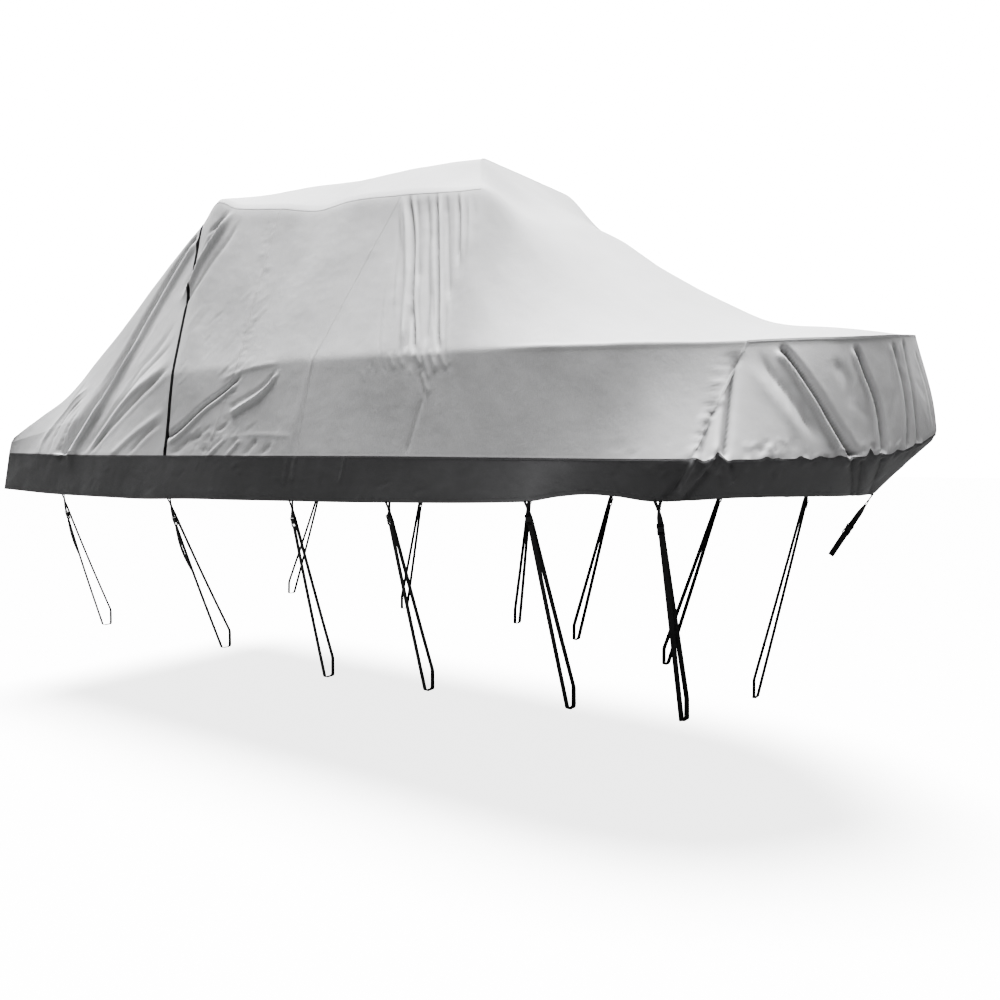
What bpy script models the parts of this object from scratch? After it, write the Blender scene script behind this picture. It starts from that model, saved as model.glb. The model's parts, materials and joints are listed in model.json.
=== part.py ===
"""Fitted cover for a boat with a raised hard top, held up by that top and tied down with webbing.

Lengths are metres. The tables give places on the cover as three plain measures:
  along   distance forward of the stern seam corner
  half    distance out from the centreline (0 on the centreline)
  height  height above the ground on which the boat's trailer stands
The model's origin is on the centreline under the roof cloth, where the hard top carries it,
with +X to the bow, +Y to port and +Z up.
"""

import math

import bmesh
import bpy
from mathutils import Matrix, Vector

# ---------------------------------------------------------------- driving dimensions
ORIGIN_ALONG = 2.85
ORIGIN_HEIGHT = 3.44

CLOTH_THICKNESS = 0.0015
SEAM_GAP = 0.0003
# A direction shorter than this counts as none.
LEAST_LENGTH = 1e-6

# The cover's lines run from the stern to the bow. Each is a table of (along, half, height).
LINES = {
    # top line on the centreline: up the stern slope, over the roof, down to the bow
    "centre": (
        (0.065, 0.0, 1.900), (0.50, 0.0, 2.170), (1.00, 0.0, 2.680), (1.50, 0.0, 3.115),
        (1.84, 0.0, 3.345), (1.95, 0.0, 3.445), (2.40, 0.0, 3.462), (3.00, 0.0, 3.440),
        (3.60, 0.0, 3.405), (3.72, 0.0, 3.385), (3.76, 0.0, 3.345), (4.00, 0.0, 3.130),
        (4.30, 0.0, 2.935), (4.57, 0.0, 2.748), (4.89, 0.0, 2.554), (5.12, 0.0, 2.428),
        (5.26, 0.0, 2.380), (5.43, 0.0, 2.352), (5.57, 0.0, 2.334), (5.85, 0.0, 2.290),
    ),
    # edge of the flat crown, which runs forward to a point as a ridge
    "crown": (
        (0.065, 0.72, 1.890), (0.50, 0.64, 2.155), (1.00, 0.58, 2.665), (1.50, 0.55, 3.100),
        (1.84, 0.54, 3.330), (1.95, 0.53, 3.434), (2.10, 0.51, 3.448), (2.73, 0.50, 3.417),
        (3.60, 0.49, 3.388), (3.72, 0.48, 3.383), (3.76, 0.455, 3.340), (3.98, 0.30, 3.130),
        (4.25, 0.19, 2.970), (4.57, 0.07, 2.745), (4.89, 0.05, 2.552), (5.26, 0.05, 2.379),
        (5.57, 0.04, 2.333), (5.76, 0.03, 2.304), (5.85, 0.0, 2.290),
    ),
    # stern corner ridge, then the hard top's edge, then the shoulder of the foredeck
    "edge": (
        (0.065, 1.19, 1.854), (0.30, 1.12, 2.004), (0.50, 1.05, 2.135), (0.73, 0.96, 2.390),
        (1.005, 0.89, 2.649), (1.285, 0.84, 2.928), (1.705, 0.81, 3.238), (1.935, 0.85, 3.350),
        (2.10, 0.845, 3.285), (2.50, 0.84, 3.220), (2.85, 0.83, 3.162), (3.05, 0.83, 3.180),
        (3.45, 0.82, 3.155), (3.84, 0.80, 3.115), (3.95, 0.79, 3.110), (4.15, 0.72, 2.930),
        (4.50, 0.58, 2.690), (4.90, 0.42, 2.480), (5.26, 0.30, 2.350), (5.57, 0.18, 2.315),
        (5.76, 0.09, 2.300), (5.85, 0.0, 2.290),
    ),
    # side line: only a guide at the stern, then the sharp fold over the boat's rail
    "rail": (
        (0.03, 1.195, 1.815), (0.60, 1.140, 1.930), (1.20, 1.105, 2.090), (1.86, 1.135, 2.230),
        (2.80, 1.135, 2.250), (3.60, 1.148, 2.238), (4.00, 1.145, 2.230), (4.35, 1.12, 2.229),
        (4.75, 1.035, 2.222), (4.90, 0.95, 2.224), (5.285, 0.635, 2.238), (5.60, 0.385, 2.256),
        (5.72, 0.27, 2.268), (5.81, 0.13, 2.282), (5.85, 0.0, 2.290),
    ),
    # seam between the body cloth and the dark band
    "seam": (
        (0.00, 1.195, 1.741), (0.60, 1.20, 1.732), (1.50, 1.20, 1.725), (3.60, 1.19, 1.726),
        (4.20, 1.165, 1.723), (4.68, 1.115, 1.720), (4.98, 1.045, 1.718), (5.185, 0.95, 1.716),
        (5.445, 0.745, 1.717), (5.66, 0.46, 1.724), (5.80, 0.24, 1.738), (5.89, 0.085, 1.790),
        (5.94, 0.0, 1.833),
    ),
    # lower edge of the dark band, drawn down at each tie and arched up between ties 5 and 6
    "hem": (
        (-0.09, 1.185, 1.476), (0.72, 1.19, 1.456), (1.50, 1.19, 1.454), (2.10, 1.19, 1.470),
        (2.96, 1.18, 1.484), (3.66, 1.18, 1.500), (4.47, 1.17, 1.530), (4.62, 1.14, 1.556),
        (4.75, 1.11, 1.568), (4.86, 1.08, 1.562), (5.02, 1.02, 1.542), (5.115, 0.95, 1.546),
        (5.29, 0.78, 1.556), (5.54, 0.42, 1.555), (5.63, 0.20, 1.550), (5.66, 0.0, 1.547),
    ),
}
LINE_ORDER = ("centre", "crown", "edge", "rail", "seam", "hem")
CENTRE, CROWN, EDGE, RAIL, SEAM, HEM = range(6)

# Where each key column of the cloth crosses the lines (along), with the cells up to the next one.
KEY_COLUMNS = (
    # name           centre crown  edge   rail   seam   hem    cells
    ("stern",        0.065, 0.065, 0.065, 0.030, 0.000, -0.090, 11),
    ("zip_aft",      1.835, 1.835, 1.700, 1.846, 1.848, 1.848, 1),
    ("zip_forward",  1.863, 1.863, 1.728, 1.874, 1.876, 1.876, 2),
    ("top_aft",      1.950, 1.950, 1.935, 1.950, 1.950, 1.950, 4),
    ("pucker_seam",  2.500, 2.500, 2.500, 2.450, 2.280, 2.280, 5),
    ("plain_seam",   3.280, 3.280, 3.440, 3.090, 3.010, 3.000, 7),
    ("top_front",    3.720, 3.720, 3.950, 4.020, 4.050, 4.050, 8),
    ("bow_seam",     5.260, 5.260, 5.260, 5.285, 5.155, 5.060, 8),
    ("bow_tip",      5.850, 5.850, 5.850, 5.850, 5.940, 5.660, 0),
)

# Cells between neighbouring lines, from the centreline out and down.
CELLS_BETWEEN_LINES = (2, 3, 6, 4, 2)
# Half length, in line steps, of the soft turn of the cloth over each line.
TURN_AT_LINE = {CROWN: 0.12, EDGE: 0.08, RAIL: 0.08, SEAM: 0.05}
# The shoulder of the foredeck is a wide soft turn that starts forward of the hard top.
SHOULDER_START = 3.95
SHOULDER_END = 4.60
SHOULDER_TURN = 0.45

# The cloth sags between the crown and the hard top's front corner.
CORNER_SAG = 0.045
CORNER_SAG_ALONG = 3.87
CORNER_SAG_LENGTH = 0.20

# Side folds, each along a line in side view: a ridge where depth is positive, a trough where not.
SIDE_FOLDS = (
    # name             along1 height1 along2 height2 width1 width2 depth
    ("stern_trough",   1.80,  3.12,   0.66,  1.75,   0.050, 0.110, -0.030),
    ("stern_ridge",    1.82,  3.10,   1.02,  1.75,   0.050, 0.110, 0.026),
    ("zip_trough",     1.86,  3.00,   1.36,  1.75,   0.050, 0.100, -0.022),
    ("rail_ridge",     2.84,  2.25,   1.86,  1.90,   0.050, 0.080, 0.022),
    ("rail_trough",    2.78,  2.18,   2.32,  1.93,   0.050, 0.090, -0.024),
    ("front_trough_1", 3.61,  2.94,   3.80,  2.26,   0.040, 0.045, -0.022),
    ("front_ridge",    3.68,  3.05,   3.88,  2.26,   0.035, 0.040, 0.014),
    ("front_trough_2", 3.72,  3.08,   3.945, 2.26,   0.035, 0.045, -0.020),
)
FOLD_END_TAPER = 0.12
PORT_FOLD_SCALE = 0.8
# The bow folds fade in and out over these shares of the way round the bow.
BOW_FADE_AFT = 0.04
BOW_FADE_TIP = 0.08
# Steps over which the cloth's direction is taken, in line steps down and in columns forward.
STEP_DOWN = 0.02
STEP_FORWARD = 0.05
# At a panel's corner the draw-in for the seam gap grows to at most this many times the gap.
MOST_DRAW_IN = 3.3

# Bow folds hang from the rail. Places run around the bow from 0 at its seam to 1 at the tip.
BOW_FOLDS = (
    # name          around_top around_low top_line low_line width depth
    ("seam_trough", 0.03,      0.06,      3.15,    4.0,     0.040, -0.012),
    ("wide_trough", 0.36,      0.54,      3.10,    4.1,     0.055, -0.030),
    ("mid_ridge",   0.47,      0.60,      3.15,    4.2,     0.060, 0.018),
    ("tip_trough",  0.62,      0.68,      3.10,    4.0,     0.050, -0.022),
    ("tip_ridge",   0.75,      0.78,      3.20,    4.0,     0.050, 0.012),
)

# Ties: where each leaves the hem, how far down its buckle starts, and where its loop turned
# under the trailer's beam.
TIES = (
    # name           along  buckle  beam_along beam_half beam_height
    ("starboard_1",  0.715, 0.115,  0.700,     0.89,     0.520),
    ("starboard_2",  1.900, 0.110,  2.000,     0.88,     0.520),
    ("starboard_3",  2.960, 0.085,  3.005,     0.97,     0.500),
    ("starboard_4",  3.660, 0.060,  3.593,     0.81,     0.480),
    ("starboard_5",  4.475, 0.060,  4.345,     0.60,     0.457),
    ("starboard_6",  5.032, 0.105,  4.888,     0.44,     0.450),
    ("port_1",       0.715, 0.100,  0.700,     -0.89,    0.520),
    ("port_2",       1.900, 0.120,  2.000,     -0.88,    0.520),
    ("port_3",       2.960, 0.070,  3.005,     -0.97,    0.500),
    ("port_4",       3.660, 0.080,  3.593,     -0.81,    0.480),
    ("port_5",       4.475, 0.060,  4.345,     -0.60,    0.457),
    ("port_6",       5.080, 0.090,  4.985,     -0.36,    0.410),
)
BEAM_WIDTH = 0.060
BEAM_DEPTH = 0.100
# The bow tie goes down to an eye on the stem, its webbing turned by a quarter below the tab.
BOW_BUCKLE = 0.170
BOW_TIE_EYE = (5.470, 0.006, 1.250)
BOW_TIE_EYE_WIDTH = 0.012
BOW_TIE_EYE_DEPTH = 0.040
BOW_TIE_TURN = math.radians(90)
BOW_TAB_DROP = 0.0009
# Steps in which a tie's webbing turns between its tab and its buckle.
TURN_STEPS = 9

WEBBING_WIDTH = 0.025
WEBBING_THICKNESS = 0.0016
GATHERED_WIDTH = 0.011
TAB_TOP_HALF = 0.020
TAB_FOOT_HALF = 0.010
TAB_LENGTH = 0.042
TAB_THICKNESS = 0.0024
TAB_FOOT_BAR = 0.011
TAB_HOLE_TOP = 0.012
TAB_LEG = 0.0035
BUCKLE_LENGTH = 0.055
BUCKLE_WIDTH = 0.034
BUCKLE_THICKNESS = 0.012
BUCKLE_EDGE_RADIUS = 0.003
BUCKLE_STAND_OFF = 0.0105
BUCKLE_APPROACH = 0.005
TURN_RADIUS = 0.012
# A corner's round takes at most this share of the runs beside it.
ROUND_SHARE = 0.45
# The tab's top edge stays this many seam gaps below the hem.
TAB_GAPS = 1.5
TURN_CORNER = 0.001
INNER_RUN_DROP = 0.020
OUTER_RUN_DROP = 0.002

# Free ends that hang from the buckles: length, and how far they stand off the loop.
TAILS = (
    # name           length slack
    ("starboard_1",  0.260, 0.010),
    ("starboard_2",  0.300, 0.018),
)
TAIL_STAND_OFF = 0.0035
TAIL_STEPS = 8

# Colours from the photograph, as (red, green, blue, roughness).
FINISHES = {
    "grey_cloth": (0.52, 0.52, 0.53, 0.75),
    "dark_cloth": (0.060, 0.060, 0.062, 0.78),
    "zip_tape": (0.012, 0.012, 0.013, 0.60),
    "webbing": (0.010, 0.010, 0.011, 0.70),
    "buckle_plastic": (0.012, 0.012, 0.013, 0.40),
}


# ---------------------------------------------------------------- small helpers
def to_model(along, half, height):
    """Model coordinates of a point given by its plain measures; half is positive to starboard."""
    return Vector((along - ORIGIN_ALONG, -half, height - ORIGIN_HEIGHT))


def blend(a, b, share):
    return a + (b - a) * share


def ease(x):
    """Smooth step from 0 to 1 as x goes from 0 to 1."""
    x = min(max(x, 0.0), 1.0)
    return x * x * (3.0 - 2.0 * x)


def fold_shape(distance, width):
    """Bell curve: 1 on the middle of a fold, fading over its width."""
    return math.exp(-((distance / width) ** 2))


def slope_at(rows, i, column):
    """Slope of a table's column against along at row i, flat at a peak so nothing overshoots."""
    def step(j):
        return (rows[j + 1][column] - rows[j][column]) / (rows[j + 1][0] - rows[j][0])

    if i == 0:
        return step(0)
    if i == len(rows) - 1:
        return step(i - 1)
    before, after = step(i - 1), step(i)
    if before * after <= 0.0:
        return 0.0
    return 2.0 * before * after / (before + after)


def read_line(name, along):
    """Half width and height of a line at a distance along, on a smooth curve through its rows."""
    rows = LINES[name]
    along = min(max(along, rows[0][0]), rows[-1][0])
    i = 0
    while i < len(rows) - 2 and along > rows[i + 1][0]:
        i += 1
    span = rows[i + 1][0] - rows[i][0]
    t = (along - rows[i][0]) / span
    values = []
    for column in (1, 2):
        start, end = rows[i][column], rows[i + 1][column]
        leave = slope_at(rows, i, column) * span
        arrive = slope_at(rows, i + 1, column) * span
        values.append(
            (2 * t**3 - 3 * t**2 + 1) * start
            + (t**3 - 2 * t**2 + t) * leave
            + (3 * t**2 - 2 * t**3) * end
            + (t**3 - t**2) * arrive
        )
    return values


def make_material(name):
    red, green, blue, roughness = FINISHES[name]
    material = bpy.data.materials.new(name)
    material.use_nodes = True
    shader = material.node_tree.nodes["Principled BSDF"]
    shader.inputs["Base Color"].default_value = (red, green, blue, 1.0)
    shader.inputs["Roughness"].default_value = roughness
    shader.inputs["Metallic"].default_value = 0.0
    return material


def add_object(name, bm, finish, collection):
    """Turns a bmesh into a named object with its own material."""
    bmesh.ops.recalc_face_normals(bm, faces=bm.faces[:])
    mesh = bpy.data.meshes.new(name)
    bm.to_mesh(mesh)
    bm.free()
    obj = bpy.data.objects.new(name, mesh)
    obj.data.materials.append(make_material(finish))
    collection.objects.link(obj)
    return obj


# ---------------------------------------------------------------- form of the cloth
def column_along(column, line):
    """Where a column crosses a line; columns count cells from the stern, fractions allowed."""
    first = 0
    for this, following in zip(KEY_COLUMNS, KEY_COLUMNS[1:]):
        cells = this[-1]
        if column <= first + cells or following is KEY_COLUMNS[-1]:
            share = (column - first) / cells
            if following is KEY_COLUMNS[-1]:
                share = math.sin(share * math.pi / 2)
            return blend(this[1 + line], following[1 + line], share)
        first += cells
    return None


def column_of(name):
    """Number of the key column with this name."""
    count = 0
    for row in KEY_COLUMNS:
        if row[0] == name:
            return count
        count += row[-1]
    return None


def line_point(column, line):
    along = column_along(column, line)
    half, height = read_line(LINE_ORDER[line], along)
    return Vector((along, half, height))


def straight_point(column, place):
    """Point on the stretch between two lines; place 2.4 is 0.4 of the way from line 2 to 3."""
    line = min(int(place), HEM - 1)
    point = line_point(column, line).lerp(line_point(column, line + 1), place - line)
    if line == CROWN:
        nearness = fold_shape(point.x - CORNER_SAG_ALONG, CORNER_SAG_LENGTH)
        point.z -= CORNER_SAG * nearness * math.sin(math.pi * (place - line))
    return point


def turn_length(column, line):
    turn = TURN_AT_LINE[line]
    if line != EDGE:
        return turn
    along = column_along(column, EDGE)
    return blend(turn, SHOULDER_TURN, ease((along - SHOULDER_START) / (SHOULDER_END - SHOULDER_START)))


def smooth_point(column, place):
    """Point on the unfolded cover, with a soft turn over each line."""
    line = round(place)
    if line in TURN_AT_LINE:
        turn = turn_length(column, line)
        if abs(place - line) < turn:
            before = straight_point(column, line - turn)
            corner = line_point(column, line)
            after = straight_point(column, line + turn)
            share = (place - line + turn) / (2 * turn)
            return before.lerp(corner, share).lerp(corner.lerp(after, share), share)
    return straight_point(column, place)


def side_fold_offset(point, place, side):
    """How far the side folds push the cloth out at a point on one side of the cover."""
    if not EDGE <= place <= SEAM:
        return 0.0
    total = 0.0
    for _, along1, height1, along2, height2, width1, width2, depth in SIDE_FOLDS:
        run = Vector((along2 - along1, height2 - height1))
        offset = Vector((point.x - along1, point.z - height1))
        share = offset.dot(run) / run.length_squared
        distance = abs(offset.x * run.y - offset.y * run.x) / run.length
        fade = ease(share / FOLD_END_TAPER) * ease((1.0 - share) / FOLD_END_TAPER)
        width = blend(width1, width2, min(max(share, 0.0), 1.0))
        total += depth * fade * fold_shape(distance, width)
    return total * (PORT_FOLD_SCALE if side == "port" else 1.0)


def bow_fold_offset(column, place, side):
    """How far the bow folds push the cloth out, between the bow seam and the tip."""
    first = column_of("bow_seam")
    last = column_of("bow_tip")
    around = (column - first) / (last - first)
    if around <= 0.0:
        return 0.0
    total = 0.0
    for _, around_top, around_low, top_line, low_line, width, depth in BOW_FOLDS:
        share = (place - top_line) / (low_line - top_line)
        fade = ease(share / FOLD_END_TAPER) * ease((1.0 - share) / FOLD_END_TAPER)
        middle = blend(around_top, around_low, min(max(share, 0.0), 1.0))
        total += depth * fade * fold_shape(around - middle, width)
    fade_at_ends = ease(around / BOW_FADE_AFT) * ease((1.0 - around) / BOW_FADE_TIP)
    return total * fade_at_ends * (PORT_FOLD_SCALE if side == "port" else 1.0)


def places():
    """The places of the cloth's rows, from the centreline (0) to the hem (5)."""
    rows = []
    for line, cells in enumerate(CELLS_BETWEEN_LINES):
        rows += [line + i / cells for i in range(cells)]
    return rows + [float(HEM)]


class ClothForm:
    """Grid of points with outward normals over the whole cover, shared by all of its panels.

    A key is (column, place, side); the transom's keys have a column below zero that counts
    its rows from the stern corner down, with the place taken across the stern.
    """

    def __init__(self):
        self.bm = bmesh.new()
        self.vertices = {}
        self.rows = places()
        self.columns = sum(row[-1] for row in KEY_COLUMNS)
        for side in ("starboard", "port"):
            self.add_side(side)
        self.add_transom()
        self.bm.normal_update()
        bmesh.ops.recalc_face_normals(self.bm, faces=self.bm.faces[:])
        self.bm.normal_update()

    def point(self, column, place, side):
        smooth = smooth_point(column, place)
        lower = smooth_point(column, min(place + STEP_DOWN, HEM))
        across = lower - smooth_point(column, max(place - STEP_DOWN, 0.0))
        later = smooth_point(min(column + STEP_FORWARD, self.columns), place)
        forward = later - smooth_point(max(column - STEP_FORWARD, 0.0), place)
        outward = forward.cross(across)
        if outward.length > LEAST_LENGTH**2:
            offset = side_fold_offset(smooth, place, side) + bow_fold_offset(column, place, side)
            smooth = smooth + outward.normalized() * offset
        sign = 1.0 if side == "starboard" else -1.0
        return to_model(smooth.x, sign * smooth.y, smooth.z)

    def vertex(self, key, position):
        """The form's vertex at a position; points that fall together share one."""
        spot = tuple(round(value, 5) for value in position)
        if spot not in self.vertices:
            self.vertices[spot] = self.bm.verts.new(position)
        self.vertices[key] = self.vertices[spot]
        return self.vertices[spot]

    def face(self, keys):
        corners = []
        for key in keys:
            vertex = self.vertices[key]
            if vertex not in corners:
                corners.append(vertex)
        if len(corners) > 2:
            self.bm.faces.new(corners)

    def add_side(self, side):
        for column in range(self.columns + 1):
            for place in self.rows:
                key = (column, place, side)
                self.vertex(key, self.point(column, place, side))
        for column in range(self.columns):
            for place, below in zip(self.rows, self.rows[1:]):
                self.face((
                    (column, place, side), (column + 1, place, side),
                    (column + 1, below, side), (column, below, side),
                ))

    def add_transom(self):
        """The stern face: across it as the stern column of the top, down it as the corner."""
        corner_top = smooth_point(0, EDGE)
        downs = [place for place in self.rows if place >= EDGE]
        acrosses = [place for place in self.rows if place <= EDGE]
        for side in ("starboard", "port"):
            sign = 1.0 if side == "starboard" else -1.0
            for row, down in enumerate(downs[1:], start=1):
                corner = smooth_point(0, down)
                for across in acrosses:
                    top = smooth_point(0, across)
                    share = top.y / corner_top.y
                    arch = (top.z - corner_top.z) * ease((SEAM - down) / (SEAM - EDGE))
                    position = to_model(corner.x, sign * share * corner.y, corner.z + arch)
                    self.vertex((-row, across, side), position)
            for across in acrosses:
                self.vertices[(-0.5, across, side)] = self.vertices[(0, across, side)]
            rows = [-0.5] + [-row for row in range(1, len(downs))]
            for row, below in zip(rows, rows[1:]):
                for across, outer in zip(acrosses, acrosses[1:]):
                    self.face((
                        (row, across, side), (row, outer, side),
                        (below, outer, side), (below, across, side),
                    ))

    def transom_rows(self, top, bottom):
        """Rows of the transom between two lines, the stern edge of the top counting as -0.5."""
        downs = [place for place in self.rows if place >= EDGE]
        rows = []
        for row, down in enumerate(downs):
            if top <= down <= bottom:
                rows.append(-row if row else -0.5)
        return rows


# ---------------------------------------------------------------- panels
def cells_of_side(form, side, first, last, top, bottom):
    """Corner keys of the cells between two columns and two lines on one side."""
    found = []
    rows = [place for place in form.rows if top <= place <= bottom]
    for column in range(first, last):
        for place, below in zip(rows, rows[1:]):
            found.append((
                (column, place, side), (column + 1, place, side),
                (column + 1, below, side), (column, below, side),
            ))
    return found


def cells_of_transom(form, side, top, bottom):
    rows = form.transom_rows(top, bottom)
    acrosses = [place for place in form.rows if place <= EDGE]
    found = []
    for row, below in zip(rows, rows[1:]):
        for across, outer in zip(acrosses, acrosses[1:]):
            found.append((
                (row, across, side), (row, outer, side), (below, outer, side), (below, across, side),
            ))
    return found


def inset_boundary(bm, distance):
    """Draws the open sheet's edge in by a distance, so neighbours keep their seam gap."""
    moves = {}
    for edge in bm.edges:
        if len(edge.link_faces) != 1:
            continue
        face = edge.link_faces[0]
        direction = (edge.verts[1].co - edge.verts[0].co).normalized()
        inward = face.normal.cross(direction)
        if inward.dot(face.calc_center_median() - edge.verts[0].co) < 0.0:
            inward.negate()
        for vertex in edge.verts:
            moves.setdefault(vertex, []).append(inward.normalized())
    for vertex, inwards in moves.items():
        unit = sum(inwards, Vector()).normalized()
        if unit.length > 0.0:
            vertex.co += unit * distance * min(1.0 / max(unit.dot(inwards[0]), LEAST_LENGTH), MOST_DRAW_IN)


def make_panel(name, form, cells, finish, collection):
    """A panel: its cells of the form as an open sheet, drawn in at the edge, then thickened inward."""
    bm = bmesh.new()
    copies = {}
    inward = {}
    for keys in cells:
        corners = []
        for key in keys:
            source = form.vertices[key]
            if source not in copies:
                copies[source] = bm.verts.new(source.co)
                inward[copies[source]] = -source.normal
            if copies[source] not in corners:
                corners.append(copies[source])
        if len(corners) > 2:
            bm.faces.new(corners)
    bmesh.ops.recalc_face_normals(bm, faces=bm.faces[:])
    bm.normal_update()
    inset_boundary(bm, SEAM_GAP / 2)
    bmesh.ops.triangulate(bm, faces=bm.faces[:], quad_method="FIXED")
    outer = list(bm.verts)
    inner = {}
    for vertex in outer:
        inner[vertex] = bm.verts.new(vertex.co + inward[vertex] * CLOTH_THICKNESS)
    sheet = list(bm.faces)
    rim = [edge for edge in bm.edges if len(edge.link_faces) == 1]
    for face in sheet:
        bm.faces.new([inner[vertex] for vertex in reversed(face.verts)])
    for edge in rim:
        a, b = edge.verts
        bm.faces.new((a, b, inner[b], inner[a]))
    obj = add_object(name, bm, finish, collection)
    obj.data.shade_smooth()
    return obj


def make_panels(form, collection):
    aft = column_of("zip_aft")
    zip_forward = column_of("zip_forward")
    pucker = column_of("pucker_seam")
    plain = column_of("plain_seam")
    front = column_of("top_front")
    bow = column_of("bow_seam")
    tip = column_of("bow_tip")

    roof, stern, stern_band, bow_band = [], [], [], []
    for side in ("starboard", "port"):
        roof += cells_of_side(form, side, zip_forward, front, CENTRE, EDGE)
        stern += cells_of_side(form, side, 0, aft, CENTRE, SEAM)
        stern += cells_of_side(form, side, aft, zip_forward, CENTRE, EDGE)
        if side == "port":
            stern += cells_of_side(form, side, aft, zip_forward, EDGE, SEAM)
        stern += cells_of_transom(form, side, EDGE, SEAM)
        stern_band += cells_of_transom(form, side, SEAM, HEM)
        bow_band += cells_of_side(form, side, bow, tip, SEAM, HEM)
    make_panel("roof_panel", form, roof, "grey_cloth", collection)
    make_panel("stern_panel", form, stern, "grey_cloth", collection)
    make_panel("band_stern", form, stern_band, "dark_cloth", collection)
    make_panel("band_bow", form, bow_band, "dark_cloth", collection)
    zip_cells = cells_of_side(form, "starboard", aft, zip_forward, EDGE, SEAM)
    make_panel("zip_starboard", form, zip_cells, "zip_tape", collection)

    for side in ("starboard", "port"):
        side_aft = cells_of_side(form, side, zip_forward, pucker, EDGE, SEAM)
        side_middle = cells_of_side(form, side, pucker, plain, EDGE, SEAM)
        side_forward = cells_of_side(form, side, plain, bow, EDGE, SEAM)
        side_forward += cells_of_side(form, side, front, bow, CENTRE, EDGE)
        side_forward += cells_of_side(form, side, bow, tip, CENTRE, RAIL)
        bow_cells = cells_of_side(form, side, bow, tip, RAIL, SEAM)
        band_cells = cells_of_side(form, side, 0, bow, SEAM, HEM)
        make_panel(f"side_aft_{side}", form, side_aft, "grey_cloth", collection)
        make_panel(f"side_middle_{side}", form, side_middle, "grey_cloth", collection)
        make_panel(f"side_forward_{side}", form, side_forward, "grey_cloth", collection)
        make_panel(f"bow_panel_{side}", form, bow_cells, "grey_cloth", collection)
        make_panel(f"band_{side}", form, band_cells, "dark_cloth", collection)


# ---------------------------------------------------------------- ties
def hem_edge(form, along, side):
    """Point of the hem, as low as it gets across the width of a tab, and the hem's level direction."""
    points = [form.vertices[(column, float(HEM), side)].co for column in range(form.columns + 1)]

    def at(x):
        for a, b in zip(points, points[1:]):
            if a.x <= x <= b.x:
                return a.lerp(b, (x - a.x) / (b.x - a.x))
        return points[-1].copy()

    middle = along - ORIGIN_ALONG
    ends = (at(middle - TAB_TOP_HALF), at(middle + TAB_TOP_HALF))
    inside = [point for point in points if abs(point.x - middle) < TAB_TOP_HALF]
    found = at(middle)
    found.z = min(point.z for point in (found, *ends, *inside))
    run = ends[1] - ends[0]
    return found, Vector((run.x, run.y, 0.0)).normalized()


class TieFrame:
    """Local axes of a tie: across its webbing, down its outer run, and out from its face."""

    def __init__(self, top, foot, across, turn=0.0):
        self.top = top
        self.down = (foot - top).normalized()
        level = (across - self.down * across.dot(self.down)).normalized()
        self.across = Matrix.Rotation(turn, 3, self.down) @ level
        self.out = self.down.cross(self.across).normalized()

    def at(self, across, down, out):
        return self.top + self.across * across + self.down * down + self.out * out


def rounded_path(corners, radius, steps=3):
    """Path through corner points, each inner corner replaced by a short curve."""
    path = [corners[0]]
    for before, corner, after in zip(corners, corners[1:], corners[2:]):
        nearest = min((before - corner).length, (after - corner).length)
        reach = min(radius, nearest * ROUND_SHARE)
        start = corner + (before - corner).normalized() * reach
        end = corner + (after - corner).normalized() * reach
        for i in range(steps + 1):
            share = i / steps
            path.append(start.lerp(corner, share).lerp(corner.lerp(end, share), share))
    return path + [corners[-1]]


def ribbon(path, widths, acrosses, thickness):
    """Closed strip of webbing along a path, with a width and a direction across at each point."""
    bm = bmesh.new()
    rings = []
    for i, (point, width, across) in enumerate(zip(path, widths, acrosses)):
        run = (path[min(i + 1, len(path) - 1)] - path[max(i - 1, 0)]).normalized()
        side = (across - run * across.dot(run)).normalized()
        face = run.cross(side).normalized()
        offsets = ((-1, -1), (1, -1), (1, 1), (-1, 1))
        rings.append([
            bm.verts.new(point + side * (a * width / 2) + face * (b * thickness / 2)) for a, b in offsets
        ])
    for ring, following in zip(rings, rings[1:]):
        for i in range(4):
            j = (i + 1) % 4
            bm.faces.new((ring[i], ring[j], following[j], following[i]))
    bm.faces.new(rings[0][::-1])
    bm.faces.new(rings[-1])
    return bm


def make_tab(name, frame, collection):
    """V of folded webbing under the hem: a flat piece with the opening that the tie runs through."""
    hole_foot = TAB_LENGTH - TAB_FOOT_BAR

    def half_at(down):
        return blend(TAB_TOP_HALF, TAB_FOOT_HALF, down / TAB_LENGTH)

    def level(across):
        """How far down the tie the tab's level top edge is, at a distance across."""
        return (SEAM_GAP * TAB_GAPS + frame.across.z * across) / -frame.down.z

    outline = [
        (-TAB_TOP_HALF, level(-TAB_TOP_HALF)), (TAB_TOP_HALF, level(TAB_TOP_HALF)),
        (TAB_FOOT_HALF, TAB_LENGTH), (-TAB_FOOT_HALF, TAB_LENGTH),
    ]
    hole = [
        (-half_at(TAB_HOLE_TOP) + TAB_LEG, TAB_HOLE_TOP), (half_at(TAB_HOLE_TOP) - TAB_LEG, TAB_HOLE_TOP),
        (half_at(hole_foot) - TAB_LEG, hole_foot), (-half_at(hole_foot) + TAB_LEG, hole_foot),
    ]
    bm = bmesh.new()
    layers = []
    for out in (-TAB_THICKNESS / 2, TAB_THICKNESS / 2):
        outer = [bm.verts.new(frame.at(a, d, out)) for a, d in outline]
        inner = [bm.verts.new(frame.at(a, d, out)) for a, d in hole]
        layers.append((outer, inner))
        for i in range(4):
            j = (i + 1) % 4
            bm.faces.new((outer[i], outer[j], inner[j], inner[i]))
    for ring in (0, 1):
        low, high = layers[0][ring], layers[1][ring]
        for i in range(4):
            j = (i + 1) % 4
            bm.faces.new((low[i], low[j], high[j], high[i]))
    return add_object(name, bm, "webbing", collection)


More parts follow.
